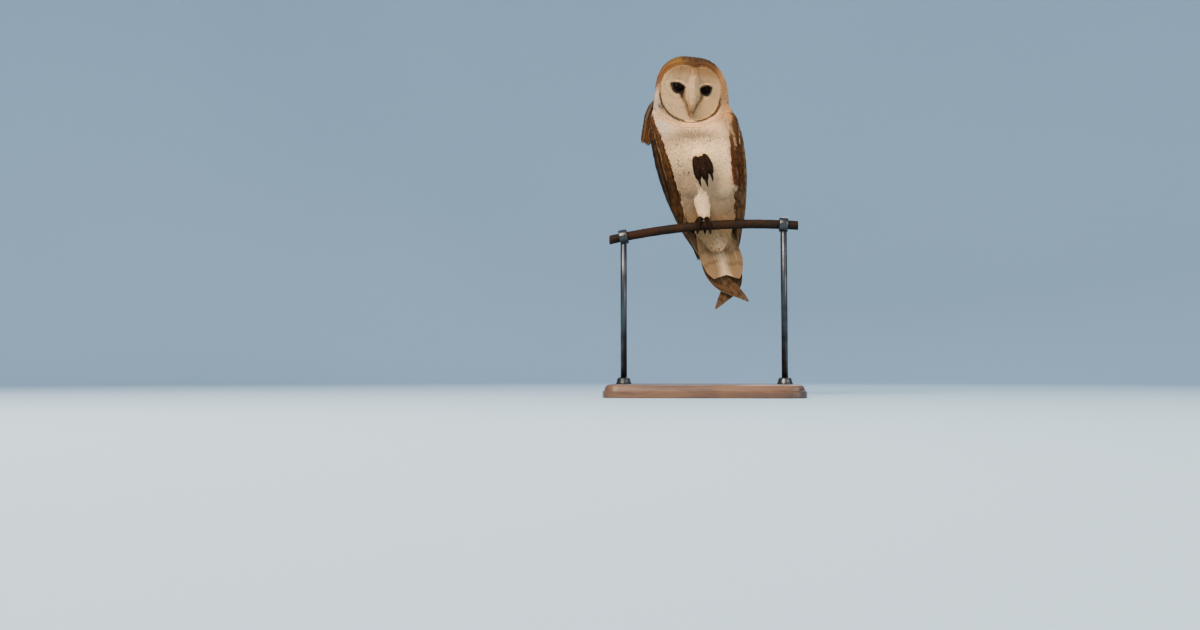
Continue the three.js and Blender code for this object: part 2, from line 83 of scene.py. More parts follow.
def circle(count):  # angles all the way round
    return np.linspace(0, 2 * pi, count, endpoint=False)


def mix(a, b, share):
    share = np.clip(np.asarray(share, float), 0, 1)[..., None]
    return a * (1 - share) + b * share


# Materials: arithmetic on sockets, and one method for every other node.
class Wire:  # the output of a node
    def __init__(self, finish, socket):
        self.finish, self.socket = finish, socket

    def maths(self, operation, *inputs):
        return self.finish.node("ShaderNodeMath", {"operation": operation}, dict(enumerate(inputs)))

    def __add__(self, other):
        return self.maths("ADD", self, other)

    def __sub__(self, other):
        return self.maths("SUBTRACT", self, other)

    def __rsub__(self, other):
        return self.maths("SUBTRACT", other, self)

    def __mul__(self, other):
        return self.maths("MULTIPLY", self, other)

    def __pow__(self, other):
        return self.maths("POWER", self, other)

    def __abs__(self):
        return self.maths("ABSOLUTE", self)

    __radd__, __rmul__ = __add__, __mul__

    def sine(self):
        return self.maths("SINE", self)

    def stretch(self, low, high, start=0.0, end=1.0):  # eased from one range to another
        settings = {"interpolation_type": "SMOOTHSTEP"}
        inputs = {"Value": self, "From Min": low, "From Max": high, "To Min": start, "To Max": end}
        return self.finish.node("ShaderNodeMapRange", settings, inputs)


def socketName(key):  # coatWeight is the shader's Coat Weight
    return "".join(" " + c if c.isupper() else c for c in key).title().replace("Ior", "IOR")


class Finish:
    def __init__(self, name, **constants):
        self.material = bpy.data.materials.new(name)
        self.material.use_nodes = True
        self.tree = self.material.node_tree
        self.shader = self.tree.nodes["Principled BSDF"]
        for key, value in constants.items():
            self.shader.inputs[socketName(key)].default_value = value

    def node(self, kind, settings=None, inputs=None, output=0):
        made = self.tree.nodes.new(kind)
        for key, value in (settings or {}).items():
            setattr(made, key, value)
        for key, value in (inputs or {}).items():
            if isinstance(value, Wire):
                self.tree.links.new(value.socket, made.inputs[key])
            else:
                made.inputs[key].default_value = value
        return Wire(self, made.outputs[output])

    def attribute(self, name, output="Fac"):
        return self.node("ShaderNodeAttribute", {"attribute_name": name}, output=output)

    def place(self):
        return self.node("ShaderNodeTexCoord", output="Object")

    def blend(self, share, a, b, how="MIX"):  # colours
        rgba = [v if isinstance(v, Wire) else (*v, 1) for v in (a, b)]
        settings = {"data_type": "RGBA", "blend_type": how}
        return self.node("ShaderNodeMix", settings, {0: share, 6: rgba[0], 7: rgba[1]}, 2)

    def noise(self, scale, detail, vector=None, output=0):
        inputs = {"Vector": vector or self.place(), "Scale": scale, "Detail": detail}
        return self.node("ShaderNodeTexNoise", {}, inputs, output)

    def grain(self, stretch, scale, detail, vector=None):  # noise drawn out along an axis
        inputs = {0: vector or self.place(), 1: stretch}
        return self.noise(scale, detail, self.node("ShaderNodeVectorMath", {"operation": "MULTIPLY"}, inputs))

    def feed(self, bump=None, height=0.0005, **wires):
        for key, wire in wires.items():
            self.tree.links.new(wire.socket, self.shader.inputs[socketName(key)])
        if bump is not None:
            normal = self.node("ShaderNodeBump", {}, {"Distance": height, "Strength": 1.0, "Height": bump})
            self.tree.links.new(normal.socket, self.shader.inputs["Normal"])
        return self.material


def newMesh(name, points, faces, smooth=True):
    mesh = bpy.data.meshes.new(name)
    groups = faces if isinstance(faces, list) else [faces]
    sizes = np.concatenate([np.full(len(g), g.shape[1]) for g in groups])
    loops = np.concatenate([g.ravel() for g in groups])
    mesh.vertices.add(len(points))
    mesh.vertices.foreach_set("co", toScene(points).astype(np.float32).ravel())
    mesh.loops.add(len(loops))
    mesh.loops.foreach_set("vertex_index", loops.astype(np.int32))
    mesh.polygons.add(len(sizes))
    starts = np.concatenate([[0], np.cumsum(sizes)[:-1]])
    mesh.polygons.foreach_set("loop_start", starts.astype(np.int32))
    evens = np.repeat(np.broadcast_to(smooth, len(groups)), [len(g) for g in groups])
    mesh.polygons.foreach_set("use_smooth", evens)
    mesh.update(calc_edges=True)
    return mesh


def addObject(name, data):
    made = bpy.data.objects.new(name, data)
    bpy.context.scene.collection.objects.link(made)
    return made


def addMesh(name, points, faces, material, replaces=(), smooth=True):
    piece = addObject(name, newMesh(name, points, faces, smooth))
    piece.data.materials.append(material)
    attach(piece, "root")
    if replaces:
        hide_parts(*replaces)
    return piece


def setAttribute(mesh, name, kind, values):
    layer = mesh.attributes.new(name, kind, "POINT")
    key = {"FLOAT": "value", "FLOAT_VECTOR": "vector", "FLOAT_COLOR": "color"}[kind]
    layer.data.foreach_set(key, np.asarray(values, np.float32).ravel())


def read(items, key, count, kind=np.float32):
    values = np.zeros(len(items) * count, kind)
    items.foreach_get(key, values)
    return values.reshape(-1, count)


def treeOf(points, faces):
    return BVHTree.FromPolygons([Vector(p) for p in points], faces)


def cadMesh(*nodes):  # the solids of some nodes as points and faces, with each face's node
    points, faces, owners = [], [], []
    count = 0
    for i, node in enumerate(nodes):
        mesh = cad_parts[node].data
        points.append(fromScene(read(mesh.vertices, "co", 3)))
        for face in mesh.polygons:
            faces.append([v + count for v in face.vertices])
            owners.append(i)
        count += len(mesh.vertices)
    return np.vstack(points), faces, np.array(owners)


class Surface:  # what feathers lie on, with soft normals
    def __init__(self, points, faces):
        self.points = points
        self.faces = faces
        self.tree = treeOf(points, [list(f) for f in faces])
        corners = points[faces]
        own = np.cross(corners[:, 1] - corners[:, 0], corners[:, -1] - corners[:, 0])
        self.areas = np.linalg.norm(own, axis=1)
        self.centres = corners.mean(1)
        normals = self.toPoints(own)
        for _ in range(4):
            normals = self.toPoints(unit(normals[faces].mean(1)))
        self.normals = normals
        self.faceNormals = unit(normals[faces].mean(1))

    def toPoints(self, values):  # the direction of the sum over the faces round each point
        spread = np.zeros_like(self.points)
        for k in range(self.faces.shape[1]):
            np.add.at(spread, self.faces[:, k], values)
        return unit(spread)

    def nearest(self, points):
        hits = [self.tree.find_nearest(Vector(p)) for p in points]
        index = np.array([h[2] for h in hits])
        return np.array([h[0] for h in hits]), self.faceNormals[index], index


# Where the owl's spine, head and face are.
spine = {"atPerch": (12.9, 22), "slope": (-0.209, -0.22), "bend": 0.0003}
head = {"at": (-19.4, -12, 192), "yaw": 12, "roll": 4, "pitch": 8}
disc = {"halfWidth": 42.7, "lobes": 31, "notch": 4.5, "chin": 47.5, "power": 2.35}
eye = {"x": 18.6, "z": -2, "tilt": 22, "long": 8.2, "tall": 7.0}


def spineAt(z):
    z = np.asarray(z, float)
    bend = spine["bend"] * z * z
    return [start + slope * z + bend for start, slope in zip(spine["atPerch"], spine["slope"])]


def bodyAngle(p):  # degrees round the spine from the front, towards the owl's left
    cx, cy = spineAt(p[..., 2])
    return np.degrees(np.arctan2(p[..., 0] - cx, cy - p[..., 1]))


def turnBy(degrees, axis):
    return Matrix.Rotation(radians(degrees), 3, axis)


headTurn = np.array(turnBy(head["yaw"], "Z") @ turnBy(head["roll"], "Y") @ turnBy(head["pitch"], "X"))


def onHead(p):  # from the head's own frame
    return np.asarray(p, float) @ headTurn.T + head["at"]


def inHead(p):
    return (np.asarray(p, float) - head["at"]) @ headTurn


def discEdge(angle):  # the heart's edge at an angle from straight down
    dx, dz = np.sin(angle), -np.cos(angle)
    tall = np.where(dz > 0, disc["lobes"], disc["chin"])
    n = disc["power"]
    r = (np.abs(dx / disc["halfWidth"]) ** n + np.abs(dz / tall) ** n) ** (-1 / n)
    return np.where(dz > 0, r - disc["notch"] * bell(r * dx / 9), r)


def discShare(x, z):  # 0 in the middle of the face, 1 on the heart's edge
    return np.hypot(x, z) / discEdge(np.arctan2(x, -z))


fleshNodes = [
    "head", "face_disc", "neck", "trunk", "mantle", "wing_left", "wing_right",
    "thigh_left", "thigh_right", "leg_left", "leg_right",
]
upperNodes, legNodes = ("mantle", "wing_left", "wing_right"), ("leg_left", "leg_right")
cadPoints, cadFaces, cadOwner = cadMesh(*fleshNodes)
cadTree = treeOf(cadPoints, cadFaces)


def nodeNear(points):  # the body part that each point belongs to
    found = [cadTree.find_nearest(Vector(p))[2] for p in points]
    return np.array(fleshNodes)[cadOwner[found]]


def smoothForm(points, faces, voxel, rounds):  # faceted solids as one smooth form
    mesh = bpy.data.meshes.new("form")
    mesh.from_pydata([tuple(p) for p in points], [], faces)
    form = addObject("form", mesh)
    remesh = form.modifiers.new("one", "REMESH")
    remesh.mode, remesh.voxel_size = "VOXEL", voxel
    soften = form.modifiers.new("soft", "SMOOTH")
    soften.factor, soften.iterations = 0.5, rounds
    made = form.evaluated_get(bpy.context.evaluated_depsgraph_get()).to_mesh()
    points, loops = read(made.vertices, "co", 3), read(made.loops, "vertex_index", 1, np.int32)
    bpy.data.objects.remove(form)
    return Surface(points.astype(float), loops.reshape(-1, 4))


def averaged(values, faces):  # the mean over the faces round each point
    flat = faces.ravel()
    onFaces = values[faces].mean(1).reshape(len(faces), -1)
    spread = [np.bincount(flat, np.repeat(column, faces.shape[1]), len(values)) for column in onFaces.T]
    return (np.array(spread) / np.bincount(flat, minlength=len(values))).T.reshape(values.shape)


def eased(form):  # the steps where the head meets the neck, and the thighs the belly, are drawn out
    p = form.points
    x, y, z = inHead(p).T
    onFace = ease(1.2, 1.07, discShare(x, z)) * ease(3, -9, y)
    share = bell((p[:, 2] - 162) / 19) * (1 - onFace)
    share += 0.6 * bell((p[:, 2] - 64) / 22) * ~np.isin(nodeNear(p), legNodes)
    for _ in range(80):
        p = p + (averaged(p, form.faces) - p) * share[:, None]
    return Surface(p, form.faces)


# The outside of the coat: the flesh solids as one form.
coat = eased(smoothForm(cadPoints, cadFaces, 1.6, 10))
print(f"coat form: {len(coat.points)} points")

# Markings, the same on skin and coat.
hues = {name: tone(code) for name, code in {
    "breast": "f6ce9e", "band": "5f503e", "throat": "d9a878", "side": "ac8660", "flankAndShade": "a28160",
    "vent": "a07d57", "face": "be9e76", "faceWarm": "d2a46c", "faceGrey": "a48b6a", "brow": "7c5a36",
    "crown": "472d14", "crownDark": "34200e", "rim": "6e4622", "hood": "c48c58", "paleSide": "c9b09a",
    "nape": "7a4c1c", "back": "704821", "streak": "75583a", "wingPale": "6f4f2c", "quill": "60442c",
    "ash": "6a5e50", "wing": "4a2d12", "wingDark": "221306", "wingRed": "4e260b", "leg": "ffd4a2",
    "line": "2a1a08", "lid": "0c0603", "wedge": "a0744c", "creaseShade": "6b4c30", "olive": "80682c",
}.items()}
# ridge is a darker copy of faceGrey: painted shade in the hollows beside the ridge between the eyes
hues["ridge"] = hues["faceGrey"] * 0.9


def painted(base, *layers):  # a hue with others laid over it, each by its share
    c = hues[base]
    for hue, share in layers:
        c = mix(c, hues[hue], share)
    return c


def headHues(p):  # crown, hood and nape
    x, y, z = np.moveaxis(inHead(p), -1, 0)
    across, up = x / 54, z / 45
    return painted(
        "crown",
        ("crownDark", 0.7 * bell((across - 0.3) / 0.35) * ease(0.7, 1.0, up)),
        ("rim", ease(-0.3, -0.75, across) * ease(1.1, 0.2, up) * 0.9),
        ("olive", 0.6 * bell((across + 0.45) / 0.2) * bell((up - 0.8) / 0.2) * ease(20, -5, y)),
        ("hood", ease(0.5, 0.85, across) * ease(0.95, 0.45, up)),
        ("nape", ease(0, 30, y)),
        ("paleSide", ease(-0.55, -0.85, across) * ease(0.1, -0.3, up) * ease(28, 0, y)),
        ("throat", ease(-0.6, -1.0, up) * ease(30, 0, y) * ease(0.9, 0.5, across)),
    )


def underHues(p):  # throat, breast, belly and the under tail
    z, a = p[..., 2], bodyAngle(p)
    return painted(
        "breast",
        ("throat", ease(134, 150, z) * ease(-42, -10, a)),
        # painted shade down the owl's right side of the breast and belly
        ("flankAndShade", 0.4 * ease(0, -30, a)),
        # a darker tan band across the upper breast: partly a tan wash, partly painted shadow under the chin
        ("band", 0.85 * bell((z - 119.5) / 11.5) * bell((p[..., 0] + 13) / 48)),
        ("flankAndShade", 0.7 * ease(35, 75, np.abs(a))),
        # painted shade on the lower belly, under the raised foot and where the belly curves away below
        ("flankAndShade", (0.95 - 0.25 * ease(-5, 15, a)) * ease(92, 55, z + 14 * bell((a + 8) / 14))),
        ("side", ease(30, 62, a) * ease(112, 150, z)),
        ("paleSide", ease(-20, -55, a) * ease(108, 138, z)),
        ("vent", ease(48, 5, z) * 0.8),
        ("nape", ease(95, 125, np.abs(a)) * ease(60, 100, z)),
    )


def upperHues(p):  # mantle and wings
    z, a = p[..., 2], np.abs(bodyAngle(p))
    return painted(
        "wing",
        ("back", ease(92, 130, a)),
        ("wingDark", 0.55 * bell((a - 62) / 9) * ease(150, 120, z)),
        ("quill", 0.7 * ease(90, 55, z) * ease(115, 80, a) * (p[..., 0] > 0)),
        ("ash", 0.35 * ease(60, -30, z) * ease(90, 130, a)),
    )


def eyeAxes(x, z):  # along an eye's almond, outwards and up, and across it
    dx, dz = np.abs(x) - eye["x"], z - eye["z"]
    t = radians(eye["tilt"])
    return dx * cos(t) + dz * sin(t), dz * cos(t) - dx * sin(t)


def almondShare(x, z):  # 1 on the rim of an eye's opening, which is flatter above and narrower on the left
    u, v = eyeAxes(x, z)
    long, tall = eye["long"] * np.where(x > 0, 0.86, 1), eye["tall"] * np.where(v > 0, 0.66, 1.06)
    return np.hypot(u / long, v / tall)


def wedgeHalf(z):  # half the width of the wedge of bristles that runs down over the bill
    return np.where(z < -13, 0.47 * (z + 42), 13.6 - 0.3 * (z + 13))


def faceHues(p):
    x, _, z = np.moveaxis(inHead(p), -1, 0)
    inside = wedgeHalf(z) - np.abs(x)
    right = np.where(x < 0, 1.0, 0.6)
    # line: painted shadow along each edge of the bristle wedge, from the inner corner of the eye down to the
    # bill
    line = bell((inside + 0.3) / 3.0) * ease(-44, -40, z) * ease(-8, -14, z)
    u, v = eyeAxes(x, z)
    corner = ease(1.3, 0.5, np.abs(v - 0.5) / np.clip((16.5 - u) / 2.4, 0.3, 4)) * ease(16, 9, u) * (u > 3)
    return painted(
        "face",
        ("faceWarm", ease(-10, 30, x) * 0.6),
        ("faceGrey", 0.4 * bell((np.abs(x) - 29) / 8) * bell(z / 18)),
        # darker towards the top of the face: partly its own browner tone, partly painted shade that tones
        # down the light on the upward-facing forehead
        ("brow", ease(3, 26, z) * 0.85),
        # painted shade beside the ridge between the eyes
        ("ridge", 0.35 * bell((np.abs(x) - 9) / 3.5) * bell((z - 7) / 9)),
        # darker just inside the wedge's edges and towards the bill tip: partly the bristles' own browner
        # tone, partly painted shade
        ("wedge", 0.75 * ease(8, 0, inside) * ease(-3, 0.5, inside) * ease(2, -16, z)),
        ("wedge", 0.4 * ease(-14, -28, z) * ease(-2, 1, inside)),
        ("creaseShade", 0.6 * ease(-22, -38, z) * ease(-3, 1, inside)),
        # painted shadow lines down the edges of the wedge
        ("creaseShade", line * (0.4 + 0.25 * right)),
        ("lid", bell((inside + 0.6) / 3.2) * ease(-25, -14, z) * ease(-3, -8, z) * right),
        # painted shade down the fold below the notch between the lobes
        ("creaseShade", 0.3 * bell((x - 2.5) / 1.6) * ease(9, 16, z)),
        ("lid", ease(1.32, 1.0, almondShare(x, z))),
        ("lid", corner * (right - 0.05)),
    )


def tucked(p):  # where the left wing's inner feathers lie over the edge of the breast, down to a blunt end
    x, y, z = np.moveaxis(p, -1, 0)
    edge = 36 + np.where(z > 128, np.minimum(0.3 * (z - 128), 5), 0.08 * (128 - z))
    return ease(edge - 1, edge + 1, x) * ease(54, 57, z) * ease(169, 164, z) * (y < 20)


def innerHues(p):  # dark, with a cream streak above and red-brown below
    x, _, z = np.moveaxis(p, -1, 0)
    streak = bell((x - 39 - 0.2 * (137 - z)) / 1.7) * ease(92, 100, z) * ease(143, 136, z)
    return painted("wing", ("wingRed", ease(106, 94, z)), ("side", 0.8 * streak))


def markings(p, node):
    c = mix(underHues(p), headHues(p), ease(142, 158, p[..., 2]))
    c = mix(c, innerHues(p), tucked(p))
    upper = np.isin(node, upperNodes)
    c = np.where(upper[..., None], mix(upperHues(p), headHues(p), ease(150, 172, p[..., 2])), c)
    c = np.where((node == "face_disc")[..., None], faceHues(p), c)
    legHue = mix(hues["leg"], c, 0.85 * ease(36, 56, p[..., 2]))
    return np.where(np.isin(node, legNodes)[..., None], legHue, c)


def veil(p, node):  # how grey and plumeMarks mottled the upper parts are
    a = np.abs(bodyAngle(p))
    y = inHead(p)[..., 1]
    onBack = np.isin(node, upperNodes) * ease(75, 120, a - 25 * ease(130, 150, p[..., 2]))
    return np.clip(onBack + (node == "head") * ease(26, 46, y), 0, 1)


skinDepth = {
    "head": 2.6, "face_disc": 1.4, "neck": 4, "trunk": 4, "mantle": 3.5, "wing_left": 3, "wing_right": 3,
    "thigh_left": 3, "thigh_right": 3, "leg_left": 1.4, "leg_right": 1.4,
}


def skinPoints():
    node = nodeNear(coat.points)
    depth = np.array([skinDepth[n] for n in node])
    for i, (p, n) in enumerate(zip(coat.points, coat.normals)):
        hit = coat.tree.ray_cast(Vector(p - n * 0.2), Vector(-n))
        if hit[3] is not None:
            depth[i] = min(depth[i], 0.3 * hit[3])
    for _ in range(6):  # the depth changes gently from part to part
        depth = np.minimum(depth, averaged(depth, coat.faces))
    return coat.points - coat.normals * depth[:, None], node


def skinFinish():
    f = Finish("owl_skin", roughness=0.85)
    tint = f.attribute("tint", "Color")
    speckle = f.noise(900, 3).stretch(0.35, 0.7, 0.82, 1.06)
    return f.feed(bump=speckle, height=0.0004, baseColor=f.blend(1.0, tint, speckle, "MULTIPLY"))


def setTint(mesh, tint):
    setAttribute(mesh, "tint", "FLOAT_COLOR", np.hstack([tint, np.ones((len(tint), 1))]))


skinShape, skinNode = skinPoints()
skin = addMesh("skin", skinShape, coat.faces, skinFinish(), fleshNodes)
setTint(skin.data, mix(markings(coat.points, skinNode), hues["flankAndShade"], 0.25))


def unwrapSkin():  # an unwrap of the skin's own shape, where every tuft finds its place
    bpy.context.view_layer.objects.active = skin
    skin.select_set(True)
    bpy.ops.object.mode_set(mode="EDIT")
    bpy.ops.mesh.select_all(action="SELECT")
    bpy.ops.uv.smart_project(angle_limit=radians(70), island_margin=0.004)
    bpy.ops.object.mode_set(mode="OBJECT")
    skin.select_set(False)
    layer = skin.data.uv_layers[0]
    layer.name = "OFBake"
    return read(layer.data, "uv", 2).reshape(-1, 4, 2).mean(1)


facePlace = unwrapSkin()
print(f"skin: {len(skinShape)} points, {len(coat.faces)} faces")


# A feather is a thin closed vane: its back is a grid of stations along it and columns across it.
def vane(path, normal, half, look, lift, seeds=(0, 1)):
    n, m, _ = path.shape
    own = chance.uniform(*seeds, n)
    half = np.broadcast_to(half, n)[:, None, None]
    t, u = np.array(look["stations"]), np.array(look["columns"])
    rows, cols = len(t), len(u)
    frayed = chance.uniform(-1, 1, (n, rows, cols)) * look["fray"]
    frayed[:, :, cols // 2] *= 0.3
    blunt = (t ** 4)[None, :, None]
    at = t[None, :, None] - look["round"] * np.abs(u) ** 2.2 * blunt + frayed * blunt
    at = np.clip(at, 0, 1)
    where = at * (m - 1)
    i = np.minimum(where.astype(int), m - 2)
    f = (where - i)[..., None]
    pick = np.arange(n)[:, None, None]
    centre = path[pick, i] * (1 - f) + path[pick, i + 1] * f
    up = unit(normal[pick, i] * (1 - f) + normal[pick, i + 1] * f)
    tangent = unit(path[pick, np.minimum(i + 1, m - 1)] - path[pick, i])
    side = unit(np.cross(tangent, up))
    roll = look.get("roll", 0.0)
    side, up = unit(side + up * roll), unit(up - side * roll)
    width = half * np.interp(t, look["widthAt"], look["width"])[None, :, None]
    spread = width * u
    wavy = 1 + chance.uniform(-1, 1, (n, rows, cols)) * look["wavy"]
    arch = -look["camber"] * width * u ** 2
    rise = lift(at) if callable(lift) else lift
    shaft, thick = look.get("shaft", 0.0), look["thick"]
    ridge = shaft * (u == 0) * (1 - t)[None, :, None] ** 0.5
    top = centre + side * (spread * wavy)[..., None] + up * (arch + rise + ridge)[..., None]
    lower = list(range(cols)) if look.get("full") else [0, cols - 1]  # the columns of the under side
    body = (1 + shaft / thick * (u == 0))[lower, None]
    under = top[:, :, lower] - up[:, :, lower] * thick * body
    points = np.concatenate([top.reshape(n, -1, 3), under.reshape(n, -1, 3)], 1)
    back, edges, wide = [], [], len(lower)
    for r in range(rows - 1):
        a, b = r * cols, rows * cols + wide * r
        back += [[a + c, a + c + 1, a + cols + c + 1, a + cols + c] for c in range(cols - 1)]
        edges += [[b + c, b + wide + c, b + wide + c + 1, b + c + 1] for c in range(wide - 1)]
        edges.append([a, a + cols, b + wide, b])
        edges.append([a + cols - 1, b + wide - 1, b + 2 * wide - 1, a + 2 * cols - 1])
    count = points.shape[1]
    tip = [*range((rows - 1) * cols, rows * cols), *range(count - 1, count - wide - 1, -1)]
    root = [*range(rows * cols, rows * cols + wide), *range(cols - 1, -1, -1)]
    shift = (np.arange(n) * count)[:, None, None]
    kinds = (back, True), (edges, False), ([tip, root], False)  # only its back is smooth
    faces = [((np.array(kind)[None] + shift).reshape(-1, len(kind[0])), even) for kind, even in kinds]
    length = np.linalg.norm(np.diff(path, axis=1), axis=2).sum(1)

    def both(values):  # a value on the grid, for its back and then for its under side
        values = np.broadcast_to(values, (n, rows, cols))
        return np.concatenate([values.reshape(n, -1), values[:, :, lower].reshape(n, -1)], 1)

    share = both(at)
    place = np.stack([both(spread), (1 - share) * length[:, None], share * length[:, None]], -1)
    return {
        "points": points.reshape(-1, 3), "faces": faces, "count": n, "each": count,
        "place": place.reshape(-1, 3), "patch": np.stack([both(u), share], -1).reshape(-1, 2),
        "seed": np.repeat(own, count), "below": np.tile(np.arange(count) >= rows * cols, n),
        "veil": np.zeros(n), "speck": np.zeros(n),
    }


faceNode = nodeNear(coat.centres)


def scatter(chosen, spacing):  # roots over some faces, none nearer to another than its spacing
    tries = 9  # for each place
    area = coat.areas * chosen / np.maximum(spacing, 0.1) ** 2
    count = int(area.sum() * tries)
    faces = chance.choice(len(area), count, p=area / area.sum())
    s, t = chance.random((2, count, 1))
    a, b, c, d = np.moveaxis(coat.points[coat.faces[faces]], 1, 0)
    points = (a * (1 - s) + b * s) * (1 - t) + (d * (1 - s) + c * s) * t
    tree = KDTree(count)
    for i, p in enumerate(points):
        tree.insert(p, i)
    tree.balance()
    kept = np.ones(count, bool)
    gaps = np.broadcast_to(spacing, len(area))[faces]
    for i in range(count):
        if kept[i]:
            for _, j, _ in tree.find_range(points[i], gaps[i]):
                if j > i:
                    kept[j] = False
    return points[kept], faces[kept]


def settled(direction, normal):  # a direction turned into the surface
    return unit(direction - normal * np.sum(direction * normal, -1, keepdims=True))


def march(roots, normals, flow, length, steps, turn):  # paths over the coat from some roots
    path, ups = [roots], [normals]
    p, n = roots, normals
    sway = chance.normal(0, 1, len(roots))[:, None] * turn
    for _ in range(steps):
        d = settled(flow(p), n)
        d = settled(d + np.cross(n, d) * sway, n)
        p, n, _ = coat.nearest(p + d * (length / steps)[:, None])
        path.append(p)
        ups.append(n)
    return np.stack(path, 1), np.stack(ups, 1)


def hang(p):  # down along the leaning body
    return np.broadcast_to([-spine["slope"][0], -spine["slope"][1], -1.0], p.shape)


def swept(p):  # away from the face, then down
    q = inHead(p)
    out = q - (2, -34, -4)
    back = ease(-15, 28, q[:, 1])
    low = ease(-20, -48, q[:, 2])
    down = np.clip(back + low, 0, 1)[:, None]
    world = unit(unit(out) @ headTurn.T)
    return unit(world * (1 - down * 0.85) + hang(p) * down)


def wingwards(p):
    right = p[:, 0] < spineAt(p[:, 2])[0]
    return unit(np.where(right[:, None], (0.34, 0.24, -1.0), (0.04, 0.24, -1.0)))


def legwards(p):
    forward = ease(-24, -40, p[:, 1])[:, None] * ease(74, 84, p[:, 2])[:, None]
    return unit(np.array([0.12, 0.1, -1.0]) * (1 - forward) + np.array([-0.26, -0.97, -0.2]) * forward)


def bodyFlow(p):
    high = ease(138, 162, p[:, 2])[:, None]
    return unit(hang(p) * (1 - high) + swept(p) * high)


def radiating(p):  # the fine feathers of the face run out from the eyes, and down the ridge between them
    q = inHead(p)
    x, z = q[:, 0], q[:, 2]
    side = np.where(x < 0, -1, 1)
    out = np.stack([x - side * eye["x"] * 0.95, np.zeros_like(x), z - eye["z"] + 1], -1)
    ridge = bell(x / 6.5) * ease(-46, -38, z)
    nose = np.stack([x * 0.03, np.zeros_like(x), -np.ones_like(x)], -1)
    way = unit(out) * (1 - ridge[:, None]) + nose * ridge[:, None]
    return unit(way) @ headTurn.T


soft = {
    "stations": [0, 0.3, 0.55, 0.75, 0.9, 1.0], "columns": [-1, -0.5, 0, 0.5, 1.0],
    "widthAt": [0, 0.2, 0.5, 0.75, 0.92, 1], "width": [0.35, 0.75, 1, 0.98, 0.75, 0.42],
    "round": 0.3, "fray": 0.07, "wavy": 0.06, "camber": 0.07, "thick": 0.12,
}
scale = {
    "stations": [0, 0.4, 0.72, 0.9, 1.0], "columns": [-1, 0, 1.0],
    "widthAt": [0, 0.3, 0.7, 0.9, 1], "width": [0.5, 0.95, 1, 0.85, 0.5],
    "round": 0.3, "fray": 0.07, "wavy": 0.06, "camber": 0.08, "thick": 0.1,
}
small = {
    "stations": [0, 0.4, 0.75, 0.92, 1.0], "columns": [-1, 0, 1.0],
    "widthAt": [0, 0.3, 0.7, 0.9, 1], "width": [0.5, 0.95, 1, 0.7, 0.3],
    "round": 0.18, "fray": 0.06, "wavy": 0.06, "camber": 0.3, "thick": 0.08,
}
thread = {
    "stations": [0, 0.5, 0.85, 1.0], "columns": [-1, 0, 1.0],
    "widthAt": [0, 0.5, 0.85, 1], "width": [0.7, 1, 0.7, 0.2],
    "round": 0.1, "fray": 0.05, "wavy": 0.1, "camber": 0.5, "thick": 0.05,
}


def homeOf(points):  # where on the skin's map some feathers stand
    return facePlace[coat.nearest(points)[2]]


def coatPiece(name, parts, material, replaces=()):  # joins vanes into one piece with its colours
    shift, faces = 0, {}
    for part in parts:
        for group, even in part["faces"]:
            faces.setdefault((group.shape[1], even), []).append(group + shift)
        shift += len(part["points"])
    points = np.vstack([part["points"] for part in parts])
    groups = [np.vstack(g) for g in faces.values()]
    piece = addMesh(name, points, groups, material, replaces, [even for _, even in faces])
    mesh = piece.data
    setAttribute(mesh, "place", "FLOAT_VECTOR", np.vstack([part["place"] for part in parts]))

    def spread(key):  # a value of each feather at all its points
        return np.concatenate([np.repeat(part[key], part["each"], axis=0) for part in parts])

    setTint(mesh, spread("tint"))
    for key in ("seed", "below"):
        setAttribute(mesh, key, "FLOAT", np.concatenate([part[key] for part in parts]))
    for key in ("veil", "speck"):
        setAttribute(mesh, key, "FLOAT", spread(key))
    patch = np.vstack([part["patch"] * part.get("patchSize", (0.0015, 0.003)) for part in parts])
    layer = mesh.uv_layers.new(name="OFBake")
    loops = np.concatenate([g.ravel() for g in groups])
    layer.data.foreach_set("uv", np.clip(spread("home") + patch, 0, 1)[loops].astype(np.float32).ravel())
    tris = sum(len(g) * (g.shape[1] - 2) for g in groups)
    print(f"{name}: {sum(part['count'] for part in parts)} feathers, {tris} triangles")
    return piece


def grow(chosen, flow, look, spacing, length, width, root, tip, turn=0.12, raised=0.3, stray=0.0, keepOff=()):
    points, faces = scatter(chosen, spacing)
    n = len(points)
    normals = coat.faceNormals[faces]
    size = chance.uniform(0.75, 1.25, n)
    longs, halves = [np.broadcast_to(v, len(faceNode))[faces] * size for v in (length, np.divide(width, 2))]
    path, ups = march(points, normals, flow, longs, 5, turn)
    for share in (0.6, 0.35):  # shorter where a feather would reach over another part
        if keepOff:
            over = np.isin(nodeNear(path[:, -2]), keepOff)
            path[over], ups[over] = march(points[over], normals[over], flow, longs[over] * share, 5, turn)
    lifted = chance.uniform(-raised, raised, n)[:, None, None]
    rise = lambda at: root + (tip - root) * at ** 0.75 + lifted * at
    part = vane(path, ups, halves, look, rise)
    node, middle = nodeNear(path[:, 2]), path[:, 3]
    part["tint"] = markings(middle + chance.normal(0, 1, middle.shape) * stray, node)
    part["veil"] = veil(middle, node)
    part["speck"] = part["veil"] * (chance.random(n) < 0.26) * np.where(node == "head", 0.3, 1)
    part["home"] = facePlace[faces]
    return part


def ashen(f, colour, near, much, size, dark):  # the fine grey mottling of the upper parts
    mottled = f.noise(size, 4).stretch(0.42, 0.6)
    ash = f.blend(mottled, hues["ash"] * 1.3, hues["wingDark"] * dark)
    return f.blend(f.attribute("veil") * near * much, colour, ash)


def onVane(f):  # a place on a feather, and how far it is across, to the tip and from the root
    place = f.attribute("place", "Vector")
    return place, *[f.node("ShaderNodeSeparateXYZ", {}, {0: place}, k) for k in range(3)]


